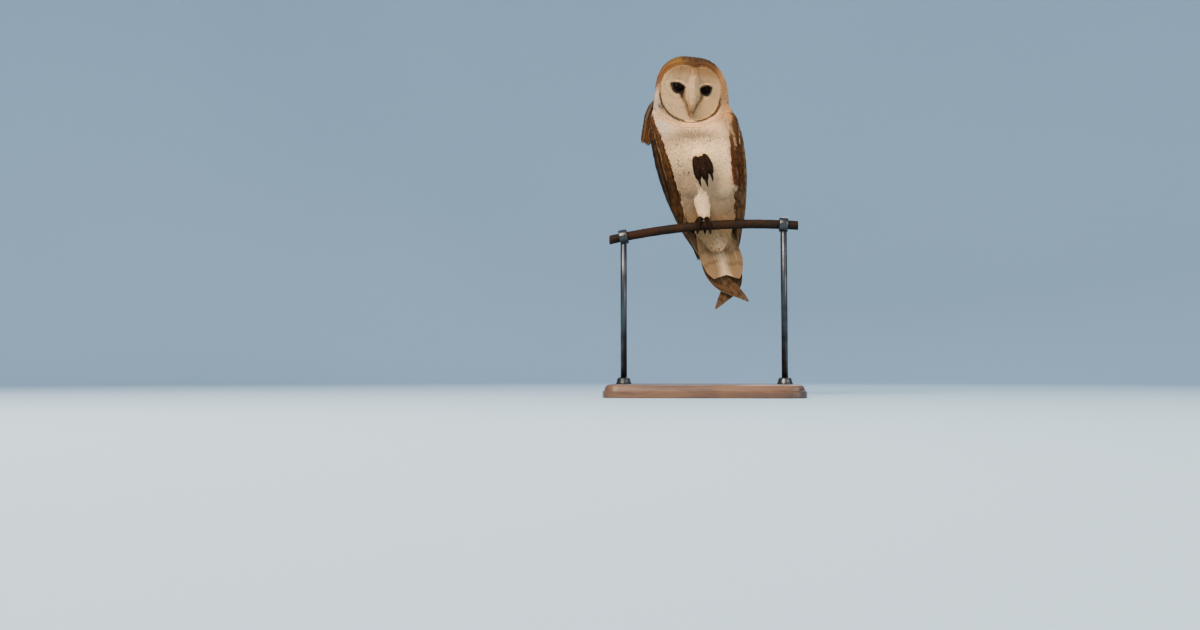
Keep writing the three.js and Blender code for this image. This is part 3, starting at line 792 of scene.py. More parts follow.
# Millimetres: how far apart barbs and bars are, and how far a tip's dark dot is from its end.
plumeMarks = {"barb": 0.8, "dot": 2.2}
flightMarks = {"barb": 0.9, "bar": 19.0, "dot": 4.0}


def ringAt(across, toTip, back):  # how far a place is from the middle of a tip's dot
    off = toTip - back
    return ((across * across) + off * off) ** 0.5


def plumage():
    f = Finish("plumage", roughness=0.8, sheenWeight=0.03, sheenRoughness=0.5, specularIorLevel=0.12)
    tint, seed, speck = f.attribute("tint", "Color"), f.attribute("seed"), f.attribute("speck")
    place, across, toTip, fromRoot = onVane(f)
    wander = f.noise(260, 2)
    barbs = (fromRoot - abs(across) * 0.9 + wander * 1.5) * (2 * pi / plumeMarks["barb"])
    barbs = barbs.sine() * 0.5 + 0.5
    fringe = f.grain((2.6, 0.35, 0.35), 1.0, 2, place)
    shade = (seed - 0.5) * 0.08 + (fringe - 0.5) * 0.2 + (barbs - 0.5) * 0.05 + 1.0
    # root darkens each feather towards its root: painted shade where the feathers lie over each other
    root = toTip.stretch(2.0, 9.0, 1.0, 0.86)
    colour = f.blend(1.0, tint, shade * root, "MULTIPLY")
    colour = ashen(f, colour, toTip.stretch(6.5, 1.0), seed.stretch(0.1, 0.9) * 0.5 + 0.3, 620, 1.2)
    away = ringAt(across, toTip, plumeMarks["dot"])
    colour = f.blend(away.stretch(1.5, 1.1) * speck.stretch(0.1, 0.4), colour, hues["line"])
    colour = f.blend(away.stretch(0.75, 0.5) * speck.stretch(0.5, 0.9), colour, hues["breast"])
    return f.feed(bump=barbs * 0.15 + fringe * 0.6, height=0.0002, baseColor=colour)


plain = plumage()
height, around = coat.centres[:, 2], np.abs(bodyAngle(coat.centres))
high = ease(148, 182, height)
onThigh, onLeg = np.isin(faceNode, ("thigh_left", "thigh_right")), np.isin(faceNode, legNodes)
innerWing = (tucked(coat.centres) > 0.5) & np.isin(faceNode, ("neck", "trunk", "thigh_left"))
body = np.isin(faceNode, ("head", "neck", "trunk")) & ~innerWing
# For each kind of feather: its spacing, length and width, how proud its root and tip are, how much its way
# turns and its tip is raised, and how far off its colour may be taken.
plumes = {
    "spacing": 2.3 - 0.4 * high, "length": 14 - 6 * high, "width": 5.4 - 1.2 * high,
    "tip": 0.0, "raised": 0.1, "stray": 1.2,
}
wisps = {
    "spacing": 1.45, "length": 9, "width": 1.0, "root": -0.6, "tip": 0.35,
    "turn": 0.2, "raised": 0.12, "stray": 1.6,
}
thighPlumes = {"spacing": 2.4, "length": 12, "width": 4.6, "root": -2, "tip": 0.1, "raised": 0.15}
legPlumes = {"spacing": 1.4, "length": 7, "width": 2.2, "root": -1.2, "tip": 1.0, "raised": 0.5}
dots = [(9, 121), (9, 116), (-35, 110), (-35, 87), (-33, 81), (-27, 71), (-20, 73), (24, 98), (-12, 104)]
dotted = np.min([np.hypot(coat.centres[:, 0] - x, height - z) for x, z in dots], axis=0) < 3.5
crown = grow(body & (height > 163), bodyFlow, scale, root=-1.4, **plumes)
coatPiece("head_coat", [crown], plain)
for name, chosen in (("breast_coat", height > 92), ("belly_coat", height <= 92)):
    chosen = chosen & body & (height <= 163)
    part = grow(chosen, bodyFlow, soft, root=-2.4, keepOff=upperNodes, **plumes)
    tips = part["points"].reshape(part["count"], -1, 3)[:, -1]
    for x, z in dots:  # a few feathers end in a dark dot
        off = np.hypot(tips[:, 0] - x, tips[:, 2] + 2 - z) + 99 * (tips[:, 1] > 0)
        part["speck"][off == off.min()] = 0.45 * (off.min() < 3)
    coatPiece(name, [part], plain)
front = (body | onThigh) & (around < 105) & (faceNode != "head") & ~dotted & ~innerWing
for name, chosen in (("breast_wisps", height > 92), ("belly_wisps", height <= 92)):
    part = grow(front & chosen, bodyFlow, thread, keepOff=upperNodes, **wisps)
    coatPiece(name, [part], plain)
legCoat = [grow(onThigh, hang, soft, **thighPlumes), grow(onLeg, legwards, small, **legPlumes)]
coatPiece("leg_coat", legCoat, plain)

aroundEyes = almondShare(*inHead(coat.centres)[:, [0, 2]].T)
onMask = (faceNode == "face_disc") & (aroundEyes > 0.98)
maskPlumes = {"spacing": 0.95, "length": 4.6, "width": 0.8, "root": -1.0, "tip": 0.3, "turn": 0.06}
mask = grow(onMask, radiating, thread, **maskPlumes)


# Bristles lie down the ridge between the eyes and over the bill, in a wedge that ends at its tip.
bristle = {
    "rows": np.arange(13, -27, -1.9), "gap": 1.15, "length": 16, "width": 1.7, "end": -38.5,
    "proud": (0.1, 0.55),
}
facePoints, faceFaces, _ = cadMesh("face_disc", "head", "bill_upper", "bill_lower")
faceTree = treeOf(facePoints, faceFaces)


def overFace(x, z, tree=faceTree):  # the front of the face and bill at places of the head's own frame
    way = Vector(headTurn @ (0, 1, 0))
    starts = onHead(np.stack([x, np.full_like(x, -90.0), z], -1).reshape(-1, 3))
    hits = [tree.ray_cast(Vector(p), way)[0] or tree.find_nearest(Vector(p) + way * 70)[0] for p in starts]
    return np.array(hits).reshape(*x.shape, 3)


def evened(path):  # its bumps are smoothed out in place
    for _ in range(2):
        path[:, 1:-1] = (path[:, :-2] + 2 * path[:, 1:-1] + path[:, 2:]) / 4


def bristles():
    parts = []
    for z0 in bristle["rows"]:
        half = float(wedgeHalf(z0)) - 0.4
        n = max(3, int(2 * half / bristle["gap"]))
        x0 = np.linspace(-half, half, n) + chance.normal(0, 0.3, n)
        z0 = z0 + chance.normal(0, 0.5, n)
        z1 = np.maximum(z0 - bristle["length"] * chance.uniform(0.85, 1.1, n), bristle["end"])
        x1 = x0 * np.clip(wedgeHalf(z1) / wedgeHalf(z0), 0.05, 1.1)
        t = np.linspace(0, 1, 9)
        x, z = x0[:, None] + (x1 - x0)[:, None] * t, z0[:, None] + (z1 - z0)[:, None] * t
        path = overFace(x, z)
        evened(path)
        ups = unit(np.stack([x / 12, -np.ones_like(x), 0.1 + 0 * x], -1)) @ headTurn.T
        near, far = bristle["proud"]
        part = vane(path, ups, bristle["width"] / 2, small, lambda at: near + (far - near) * at)
        # the bristles' hue is darkened to 0.85 as painted shade, toning down the light they catch where they
        # stand proud towards the key lamp
        part.update(tint=faceHues(path[:, 4]) * 0.85, home=homeOf(path[:, 0]))
        parts.append(part)
    return parts


coatPiece("face_coat", [mask, *bristles()], plain)


# The ruff: dense rows of short feathers that stand up round the heart of the face.
ruff = {
    "rows": (-0.9, 2.5, 4.3), "step": 1.05, "length": (3.4, 5.5, 6.5), "width": 1.9, "raise": (2.2, 1.3, 0.9),
}


def outward(p):
    q = inHead(p)
    way = np.stack([q[:, 0], np.full(len(q), 8.0), q[:, 2]], -1)
    return unit(way) @ headTurn.T


def ruffTint(angle, row, p):
    down = np.degrees(np.abs(angle))
    under = mix(hues["throat"], hues["side"], ease(30, 75, down))
    under = mix(under, hues["paleSide"], 0.7 * (row > 0) * (angle < 0) * ease(25, 60, down))
    over = mix(headHues(p), hues["rim"], ease(176, 130, down) * np.where(angle < 0, 0.75, 0.45))
    c = mix(under, over, ease(70, 98, down))
    if row == 0:
        c = mix(c, hues["line"], 0.92 * ease(86, 70, down) * ease(4, 11, down))
    if row == 1:
        c = mix(c, hues["line"], 0.3 * ease(80, 60, down) * ease(8, 16, down) * np.where(angle < 0, 1, 0.4))
    return c


def ruffRow(row):
    turn = np.linspace(-pi, pi, 400)
    r = discEdge(turn) + ruff["rows"][row]
    x, z = r * np.sin(turn), -r * np.cos(turn)
    travelled = np.concatenate([[0], np.cumsum(np.hypot(np.diff(x), np.diff(z)))])
    count = int(travelled[-1] / ruff["step"])
    at = np.interp((np.arange(count) + 0.5 * (row % 2)) * ruff["step"], travelled, turn)
    at = at + chance.normal(0, 0.006, count)
    r = discEdge(at) + ruff["rows"][row] + chance.normal(0, 0.15, count)
    roots, normals, index = coat.nearest(overFace(r * np.sin(at), -r * np.cos(at), coat.tree))
    longs = ruff["length"][row] * chance.uniform(0.85, 1.15, count)
    path, ups = march(roots, normals, outward, longs, 4, 0.06)
    sunk, proud = 0.8, ruff["raise"][row]
    rise = lambda at: -sunk + (proud + sunk) * np.sin(np.clip(at * 1.25, 0, 1) * pi / 2) - at ** 3 * 0.8
    part = vane(path, ups, ruff["width"] / 2, small, rise)
    part.update(tint=ruffTint(at, row, path[:, 2]), home=facePlace[index])
    return part


coatPiece("ruff", [ruffRow(row) for row in (2, 1, 0)], plain)


# Wings: rows over the folded wing, worked out on a map of the torso round its spine.
mapSteps = {"up": 3.0, "round": 4.0}


class TorsoMap:
    def __init__(self, nodes=("trunk", "mantle", "wing_left", "wing_right")):
        points, faces, owner = cadMesh(*nodes)
        tree = treeOf(points, faces)
        self.heights, self.angles = np.arange(-34, 163, mapSteps["up"]), np.arange(0, 360, mapSteps["round"])
        self.reach = np.zeros((len(self.heights), len(self.angles)))
        self.edges = {"left": [], "right": []}
        for i, z in enumerate(self.heights):
            middle = Vector((*[float(v) for v in spineAt(z)], z))
            found = {"left": [], "right": []}
            for j, a in enumerate(np.radians(self.angles)):
                way = Vector((sin(a), -cos(a), 0))
                hit = tree.ray_cast(middle + way * 200, -way)
                self.reach[i, j] = (hit[0] - middle).length if hit[0] else self.reach[i - 1, j]
                if hit[0] and nodes[owner[hit[2]]].startswith("wing"):
                    side = nodes[owner[hit[2]]][5:]
                    turned = self.angles[j] if side == "left" else 360 - self.angles[j]
                    found[side].append(turned)
            for side, angles in found.items():
                self.edges[side].append((min(angles), max(angles)) if angles else self.edges[side][-1])
        for _ in range(3):
            r = np.pad(self.reach, ((1, 1), (0, 0)), "edge")
            r = (r[:-2] + 2 * r[1:-1] + r[2:]) / 4
            self.reach = (np.roll(r, 1, 1) + 2 * r + np.roll(r, -1, 1)) / 4
        kernel = np.ones(5) / 5
        for side, pairs in self.edges.items():
            padded = np.pad(np.array(pairs, float), ((2, 2), (0, 0)), "edge")
            self.edges[side] = np.stack([np.convolve(padded[:, k], kernel, "valid") for k in (0, 1)], 1)

    def at(self, angle, z, lift=0.0):  # a point over the torso at an angle in degrees and a height
        i = np.clip((z - self.heights[0]) / mapSteps["up"], 0, len(self.heights) - 1.001)
        j = (angle % 360) / mapSteps["round"]
        i0, j0 = i.astype(int), j.astype(int)
        fi, fj = i - i0, j - j0
        j0, j1 = j0 % len(self.angles), (j0 + 1) % len(self.angles)
        r = (self.reach[i0, j0] * (1 - fj) + self.reach[i0, j1] * fj) * (1 - fi)
        r = r + (self.reach[i0 + 1, j0] * (1 - fj) + self.reach[i0 + 1, j1] * fj) * fi + lift
        cx, cy = spineAt(z)
        a = np.radians(angle)
        return np.stack([cx + r * np.sin(a), cy - r * np.cos(a), z], -1)

    def normal(self, angle, z):
        across = self.at(angle + 3, z) - self.at(angle - 3, z)
        upwards = self.at(angle, z + 3) - self.at(angle, z - 3)
        return unit(np.cross(across, upwards))

    def edge(self, side, z):  # where the wing starts and ends, in degrees from the front
        pair = self.edges[side]
        return [np.interp(z, self.heights, pair[:, k]) for k in (0, 1)]


torso = TorsoMap()
long = {
    "stations": np.linspace(0, 1, 13) ** 0.85, "columns": [-1, -0.6, -0.18, 0, 0.18, 0.6, 1.0],
    "widthAt": [0, 0.15, 0.5, 0.8, 0.93, 1], "width": [0.3, 0.8, 1, 0.97, 0.78, 0.4],
    "round": 0.1, "fray": 0.012, "wavy": 0.02, "camber": 0.14, "thick": 0.3, "shaft": 0.3, "full": True,
}
sides = {"left": 1, "right": -1}


def wingFeathers(side, shares, rootZ, tipZ, width, lift=(-2.4, 0.4), slant=0.0, roll=0.07, hue=None):
    n = len(shares)
    s = sides[side]
    t = np.linspace(0, 1, 14)[None, :]
    a = shares[:, None]
    drop = slant * a
    z = (rootZ + drop) + (tipZ - rootZ + chance.normal(0, 1.5, (n, 1))) * t
    start, end = torso.edge(side, z)
    angle = s * (start + (end - start) * a)
    path = torso.at(angle, z)
    ups = torso.normal(angle, z)
    rise = lambda at: lift[0] + (lift[1] - lift[0]) * at ** 0.7
    halves = np.full(n, width / 2) * chance.uniform(0.94, 1.06, n)
    part = vane(path, ups, halves, {**long, "roll": -s * roll}, rise)
    middle = path[:, 9]
    part["tint"] = upperHues(middle) if hue is None else np.broadcast_to(hue, (n, 3)).copy()
    part["veil"] = 0.75 * ease(92, 122, np.abs(angle[:, 9])) * (hue is None)
    part["speck"] = ease(80, 100, np.abs(angle[:, 9])) * (chance.random(n) < 0.3) * (rootZ > 100)
    part["home"] = homeOf(path[:, 4])
    return part


# From the deepest row up: heights of roots and tips, width, how many, and what part of the wing they span.
wingRows = [
    (44, -40, 13, 8, (0.30, 0.98)), (56, -22, 14, 9, (0.12, 0.98)), (72, 2, 14, 10, (0.05, 1.0)),
    (90, 34, 14, 10, (0.03, 1.0)), (106, 62, 13, 10, (0.03, 1.0)), (120, 84, 12, 10, (0.03, 1.0)),
    (130, 102, 11, 11, (0.03, 1.0)), (140, 116, 10, 11, (0.03, 1.0)),
]


def flightFinish():
    f = Finish("flight_feather", roughness=0.62, specularIorLevel=0.08)
    tint, seed, below = f.attribute("tint", "Color"), f.attribute("seed"), f.attribute("below")
    place, across, toTip, fromRoot = onVane(f)
    wander = f.noise(120, 3)
    phase = seed * 9.0 + f.attribute("barShift")
    bars = (toTip + abs(across) * 0.5 + wander * 5.0 + phase) * (2 * pi / flightMarks["bar"])
    bars = bars.sine().stretch(0.35, 0.85)
    barbs = (fromRoot - abs(across) * 1.3) * (2 * pi / flightMarks["barb"]) + wander * 6.0
    barbs = barbs.sine() * 0.5 + 0.5
    streak = f.grain((1.6, 0.2, 0.2), 1.0, 3, place)
    shade = (seed - 0.5) * 0.16 + (streak - 0.5) * 0.35 + (barbs - 0.5) * 0.12 + 1.0
    shaft = abs(across).stretch(0.5, 0.9, 0.62, 1.0)
    colour = f.blend(1.0, tint, shade * shaft, "MULTIPLY")
    colour = f.blend(bars * 0.55, colour, hues["wingDark"])
    colour = ashen(f, colour, toTip.stretch(16.0, 2.0), 0.7, 420, 1.3)
    away, dotted = ringAt(across, toTip, flightMarks["dot"]), f.attribute("speck")
    colour = f.blend(away.stretch(2.4, 1.9) * dotted, colour, hues["line"])
    colour = f.blend(away.stretch(1.4, 1.0) * dotted, colour, hues["breast"])
    share = f.attribute("paleBelow")  # 0.8 is barred cream, 1 the plain pale middle
    # the under sides are darkened copies of the vent and breast hues: painted shade under the tail
    pale = f.blend(share.stretch(0.8, 1.0), hues["vent"] * 0.62, hues["breast"] * 0.66)
    barred = bars * share.stretch(0.85, 1.0, 0.5, 0.1) * toTip.stretch(12.0, 20.0)
    pale = f.blend(barred, pale, hues["side"] * 0.25)
    return f.feed(bump=barbs * 0.2 + streak, height=0.0003,
                  baseColor=f.blend(below * share.stretch(0.0, 0.8), colour, pale))


flight = flightFinish()


def addPaleBelow(piece, share, shift=0.0):  # how pale the under sides are, and where their bars lie
    each = len(piece.data.vertices) // np.size(share)
    setAttribute(piece.data, "paleBelow", "FLOAT", np.repeat(share, each))
    setAttribute(piece.data, "barShift", "FLOAT", np.full(len(piece.data.vertices), shift))


# Narrow feathers in bands down the front of each wing: how far across it, their hue, the heights between
# which they lie, their width and length.
edgeBands = {
    "right": [
        (0.28, "wingDark", (146, 20), 9, 36), (0.21, "wingDark", (138, 24), 6, 36),
        (0.17, "wing", (138, 24), 5, 36), (0.13, "wingDark", (140, 34), 4, 36),
        (0.085, "streak", (136, 60), 1.7, 20), (0.03, "wing", (150, 18), 5.5, 36),
    ],
    "left": [
        (0.26, "wingPale", (144, 10), 8, 36), (0.18, "wingPale", (140, 10), 6, 36),
        (0.12, "wing", (122, 50), 4, 36), (0.075, "side", (148, 112), 2.2, 20),
        (0.06, "wingRed", (118, 54), 6, 34), (0.01, "wing", (140, 60), 5, 36),
    ],
}


def wingEdge(side):
    parts = []
    for share, hue, (top, bottom), width, piece in edgeBands[side]:
        for z in np.arange(bottom, top - piece * 0.6, piece * 0.42):
            shares = np.array([share]) + chance.normal(0, 0.006, 1)
            rootZ = min(z + piece, top)
            parts.append(wingFeathers(side, shares, rootZ, z, width, (-0.6, 0.9), roll=0.0, hue=hues[hue]))
    return parts


for side in sides:
    parts = []
    for root, tip, width, count, span in wingRows:
        shares = np.linspace(*span, count) + chance.normal(0, 0.006, count)
        parts.append(wingFeathers(side, shares, root, tip, width, slant=-8))
    parts += wingEdge(side)
    addPaleBelow(coatPiece(f"wing_feathers_{side}", parts, flight), 0.25)

upper = np.isin(faceNode, upperNodes) & ((height > 118) | (faceNode == "mantle"))
cloak = {**soft, "camber": 0.16, "fray": 0.05}
backPlumes = {
    "spacing": 3.3, "length": 10 + 9 * ease(165, 60, height), "width": 7.5, "root": -2, "tip": 0.4,
    "turn": 0.06,
}
innerPlumes = {
    "spacing": 1.7, "length": 13, "width": 3.4, "root": -1.2, "tip": 1.4, "turn": 0.05, "raised": 0.2,
}
backCoat = [grow(upper, wingwards, cloak, **backPlumes), grow(innerWing, hang, cloak, **innerPlumes)]
coatPiece("back_coat", backCoat, plain)


# The primaries are crossed behind the tail: points that each wing's fan runs through.
primaries = {
    "rump": {"around": 152, "heights": (24, -2, -26)},
    "right": ((14, 51, -59), (35, 53, -83.5), (61, 53, -108)),
    "left": ((44, 58, -62), (39, 60, -88), (23, 60.5, -117)),
    "spread": (3, 5, 6, 7, 8, 7), "depth": (6, 5, 4, 2.6, 1.6, 0.6), "count": 7, "width": 13,
}
quill = {
    "stations": np.linspace(0, 1, 22) ** 0.9, "columns": [-1, -0.7, -0.35, -0.1, 0, 0.1, 0.45, 1.0],
    "widthAt": [0, 0.12, 0.5, 0.75, 0.9, 1], "width": [0.2, 0.75, 1, 1, 0.9, 0.5],
    "round": 0.04, "fray": 0.004, "wavy": 0.015, "camber": 0.08, "thick": 0.35, "shaft": 0.35, "full": True,
}


def curve(points, t):  # a smooth line through some points
    p = np.array(points, float)
    p = np.vstack([2 * p[0] - p[1], p, 2 * p[-1] - p[-2]])
    x = np.clip(t, 0, 1) * (len(p) - 3)
    i = np.minimum(x.astype(int), len(p) - 4)
    f = (x - i)[..., None]
    a, b, c, d = p[i], p[i + 1], p[i + 2], p[i + 3]
    square, cube = 2 * a - 5 * b + 4 * c - d, 3 * b - a - 3 * c + d
    return 0.5 * (2 * b + (c - a) * f + square * f ** 2 + cube * f ** 3)


def primaryFan(side):
    s, n = sides[side], primaries["count"]
    heights = np.array(primaries["rump"]["heights"], float)
    rump = torso.at(np.full(3, s * primaries["rump"]["around"], float), heights, 1.0)
    points = [*rump, *primaries[side]]
    k = np.arange(n)[:, None]  # 0 is the longest, at the leading edge and in front
    t = np.linspace(0, 1, 26)[None, :] * (1 - 0.03 * k)
    centre = curve(points, t)
    ahead = curve(points, np.minimum(t + 0.01, 1)) - curve(points, t - 0.01)
    face = unit(np.stack([s * 0.55 * (1 - t), np.ones_like(t), np.full_like(t, 0.1)], -1))
    across = unit(np.cross(unit(ahead), face)) * -s
    out = (n / 2 - 0.5 - k) / n * 2
    centre = centre + across * (along(primaries["spread"], t) * out)[..., None]
    centre = centre - face * (along(primaries["depth"], t) * out / 2)[..., None]
    part = vane(centre, face, primaries["width"] / 2, quill, 0.0)
    part["tint"] = mix(hues["quill"], hues["wingDark"], np.full(n, 0.3))
    part["veil"] += 0.45
    part.update(home=np.stack([np.linspace(0.1, 0.8, n), np.full(n, 0.05)], -1), patchSize=(0.055, 0.88))
    name = f"primary_feathers_{side}"
    addPaleBelow(coatPiece(name, [part], flight, [f"primaries_{side}"]), 0.0)


for side in sides:
    primaryFan(side)


tail = {
    "count": 12, "top": 16, "bottom": -71, "x": (10, 34), "y": (33, 44), "halfWidth": (22, 27, 29.5, 23),
    "arch": 1.5, "notch": 6, "width": 15, "layers": 3.2,
}


def tailFan():
    n = tail["count"]
    u = np.linspace(-1, 1, n)[:, None]
    t = np.linspace(0, 1, 20)[None, :]
    end = tail["bottom"] + tail["notch"] * (1 - np.abs(u))
    z = tail["top"] + (end - tail["top"]) * t
    half = along(tail["halfWidth"], t) - tail["width"] * 0.42
    x = tail["x"][0] + (tail["x"][1] - tail["x"][0]) * t + half * u
    y = tail["y"][0] + (tail["y"][1] - tail["y"][0]) * t + tail["arch"] * u ** 2
    y = y - tail["layers"] * (np.abs(u) - 0.5) + 0.2 * np.sign(u)
    path = np.stack([x, y, z], -1)
    ups = np.broadcast_to(unit(np.array([0.0, 1.0, 0.15])), path.shape)
    square = {**quill, "width": [0.35, 0.8, 1, 1, 0.9, 0.5], "round": 0.05}
    part = vane(path, ups, tail["width"] / 2, square, 0.0, (0.45, 0.55))
    part["tint"] = mix(hues["nape"], hues["side"], np.full(n, 0.5))
    part["veil"] += 0.6
    part.update(home=np.stack([np.linspace(0.06, 0.94, n), np.full(n, 0.05)], -1), patchSize=(0.03, 0.88))
    pale = np.interp(np.abs(u[:, 0]), (0.2, 0.85), (1.0, 0.8))
    addPaleBelow(coatPiece("tail_feathers", [part], flight, ["tail"]), pale, 11.2)


tailFan()


# Long loose feathers under the tail lie in rows over its base: height of their roots, length and half width.
vent = {
    "rows": ((-12, 20, 15), (-6, 22, 18), (1, 23, 20), (9, 24, 22), (18, 24, 23)), "across": 9, "width": 8,
}
ventPoints, ventFaces, _ = cadMesh("trunk", "tail")
ventTree = treeOf(ventPoints, ventFaces)


def ventRow(root, length, half):
    n = vent["across"]
    k = np.linspace(-1, 1, n)[:, None] + chance.normal(0, 0.04, (n, 1))
    z = root - length * chance.uniform(0.9, 1.1, (n, 1)) * (1 - 0.25 * k ** 2) * np.linspace(0, 1, 12)
    x = 10 + (16 - z) * 0.28 + k * half
    fronts = [ventTree.ray_cast(Vector((a, -150, b)), Vector((0, 1, 0)))[0] for a, b in zip(x.flat, z.flat)]
    y = np.array([hit[1] if hit else 45.0 for hit in fronts]).reshape(x.shape)
    for _ in range(12):  # they span the hollow between the body and the tail
        y[:, 1:-1] = np.minimum(y[:, 1:-1], (y[:, :-2] + y[:, 2:]) / 2)
    path = np.stack([x, y, z], -1)
    way = np.gradient(path, axis=1)
    ups = unit(np.stack([0.15 * k + 0 * y, way[..., 2], -way[..., 1]], -1))
    part = vane(path, ups, vent["width"] / 2, soft, lambda at: -0.6 + 1.4 * at)
    x, z = path[:, 7, 0], path[:, 7, 2]
    off = np.abs(x - 12 - (16 - z) * 0.28)
    # the hues are darkened copies (0.85, 0.8 and 0.7): painted shade under the body
    c = mix(hues["vent"] * 0.85, hues["breast"] * 0.8, 0.5 * bell(off / 8) * ease(0, -25, z))
    part.update(tint=mix(c, hues["side"] * 0.7, 0.3 * ease(12, 24, off)), home=homeOf(path[:, 0]))
    return part


coatPiece("vent_coat", [ventRow(*row) for row in vent["rows"]], plain)


# The tuft that stands off the right shoulder: short rows over each other on a curved sheet.
tuft = {
    "from": (-66, 27, 186), "out": 13, "forward": 5, "down": 66,
    "across": 7, "rows": 6, "part": 0.36, "width": 7.5,
}


def shoulderTuft():
    parts = []
    for row in range(tuft["rows"])[::-1]:
        n = tuft["across"]
        k = np.linspace(-1, 1, n)[:, None] + chance.normal(0, 0.05, (n, 1))
        start = row / tuft["rows"] * (1 - tuft["part"] * 0.7)
        t = start + np.linspace(0, 1, 10)[None, :] * tuft["part"] * chance.uniform(0.93, 1.06, (n, 1))
        far = np.minimum(t, 1.01) * (0.96 + 0.04 * np.cos(k * pi / 2))
        x0, y0, z0 = tuft["from"]
        x = x0 - tuft["out"] * far ** 0.6 + 8.5 * k * np.sin(pi * np.minimum(0.14 + far * 0.6, 0.64))
        y = y0 - tuft["forward"] * far + 8 * np.sin(pi * np.minimum(far, 1)) + 3 * k
        path = np.stack([x, y - 0.25 * (tuft["rows"] - row), z0 - tuft["down"] * far], -1)
        for facing in (-1, 1):  # both faces of the sheet are feathered
            ups = np.broadcast_to(unit(np.array([-0.5, 0.8 * facing, 0.3])), path.shape)
            proud = 0.5 + 0.3 * (tuft["rows"] - row) / 4
            part = vane(path + ups * proud, ups, tuft["width"] / 2, cloak, 0.2)
            shade = mix(hues["nape"] * 0.5, hues["wing"], chance.uniform(0.0, 0.8, n))
            part["tint"] = mix(shade, hues["ash"] * (0.6, 0.5, 0.4), np.full(n, 0.8 * (row < 2) + 0.25))
            part["veil"] += 0.5
            part["home"] = homeOf(path[:, 0])
            parts.append(part)
    coatPiece("shoulder_tuft", parts, plain, ["scapulars_right"])


shoulderTuft()


def finerForm(node, voxel, rounds):  # one solid of the eyes, bill or feet, made smooth
    return smoothForm(*cadMesh(node)[:2], voxel, rounds)


def eyeFinish():
    f = Finish("eye", roughness=0.12, specularIorLevel=0.025)
    brown = f.noise(700, 3).stretch(0.3, 0.7)
    return f.feed(baseColor=f.blend(brown, (0.0015, 0.0008, 0.0005), (0.005, 0.0024, 0.0012)))


def ball(centre, radius, rings=24, turns=36):
    a = np.linspace(0, pi, rings)[:, None]
    b = circle(turns)[None, :]
    points = np.stack([np.sin(a) * np.cos(b), -np.cos(a) + 0 * b, np.sin(a) * np.sin(b)], -1).reshape(-1, 3)
    return points * radius @ headTurn.T + centre, gridFaces(rings, turns)


def gridFaces(rows, turns):  # of rings of points, one after another
    r = np.arange(rows - 1)[:, None] * turns
    c = np.arange(turns)[None, :]
    after = (c + 1) % turns
    return np.stack([r + c, r + after, r + turns + after, r + turns + c], -1).reshape(-1, 4)


# Each lid is a dark almond rim with a feathered collar: its opening, rim and outer edge.
lids = {
    "inner": (6.7, 5.6), "rim": (8.0, 6.9), "outer": (10.6, 10.0), "proud": 0.5, "inward": 1.2, "fold": 0.7,
}
fringe = {
    "rings": (0.9, 1.0, 1.12, 1.26, 1.42, 1.6, 1.8), "dark": (1, 0.95, 0.6, 0.1, 0, 0, 0),
    "count": 64, "length": 2.6, "width": 1.1,
}


def lidFinish():
    f = Finish("lid", roughness=0.85, specularIorLevel=0.06)
    wrinkled = f.noise(1500, 3)
    skinTone = f.blend(f.attribute("rim").stretch(0.95, 1.4), hues["lid"], hues["face"] * 0.8)
    return f.feed(bump=wrinkled, height=0.0002, baseColor=skinTone)


def almond(s, turn, long, tall):  # flatter above, with drawn-out corners, and the left one narrower
    u, v = np.cos(turn), np.sin(turn)
    long = long * (1 if s < 0 else 0.88)
    up = tall * np.sign(v) * np.abs(v) ** 1.2 * np.where(v > 0, 0.6, 1.04)
    return long * (u + 0.16 * np.maximum(u, 0) ** 6), up


def onEye(s, x, z, away):  # a place on a ball round the eye, in the head's own frame from its centre
    t = radians(eye["tilt"])
    x, z = (x * cos(t) - z * sin(t)) * s, x * sin(t) + z * cos(t)
    return np.stack([x, -np.sqrt(np.maximum(away ** 2 - x ** 2 - z ** 2, 0.5)), z], -1)


def buildLid(side, s, centre, radius):
    count = 48
    turn = circle(count)[::s]
    middle = np.mean([lids["rim"], lids["outer"]], 0)
    stages = ((lids["inner"], 0, -lids["inward"]), (lids["inner"], 0.2, 0), (lids["rim"], 1, lids["fold"]),
              (middle, 1.5, 0.4), (lids["outer"], 2, 0))
    rings = [onEye(s, *almond(s, turn, *size), radius + lids["proud"] + rise) for size, _, rise in stages]
    points = np.concatenate(rings) @ headTurn.T + centre
    lid = addMesh(f"lid_{side}", points, gridFaces(len(stages), count)[:, ::-1], lidFin)
    setAttribute(lid.data, "rim", "FLOAT", np.repeat([share for _, share, _ in stages], count))


def lidFringe(s, centre, radius):  # short feathers that stand round the rim and lie over the collar
    parts, n = [], fringe["count"]
    for ring, dark in zip(fringe["rings"], fringe["dark"]):
        turn = circle(n) + chance.normal(0, 0.05, n)
        x0, z0 = almond(s, turn, *(np.array(lids["rim"]) * ring))
        longs = np.linspace(0, 1, 6) * chance.uniform(0.85, 1.15, (n, 1))
        reach = 1 + fringe["length"] / np.hypot(x0, z0)[:, None] * longs
        away = radius + lids["proud"] + lids["fold"]
        path = onEye(s, x0[:, None] * reach, z0[:, None] * reach, away) @ headTurn.T + centre
        own = inHead(path)
        face = inHead(overFace(own[..., 0], own[..., 2]))
        own[..., 1] = np.minimum(own[..., 1], face[..., 1] - 0.2)
        evened(own)
        path = onHead(own)
        ups = unit(unit(path - centre) + headTurn @ (0, -0.6, 0))
        part = vane(path, ups, fringe["width"] / 2, small, lambda at: 0.1 + 0.25 * at)
        part["tint"] = mix(faceHues(path[:, 3]), hues["lid"], chance.uniform(0.85, 1, n) * dark)
        part["home"] = homeOf(path[:, 0])
        parts.append(part)
    return parts


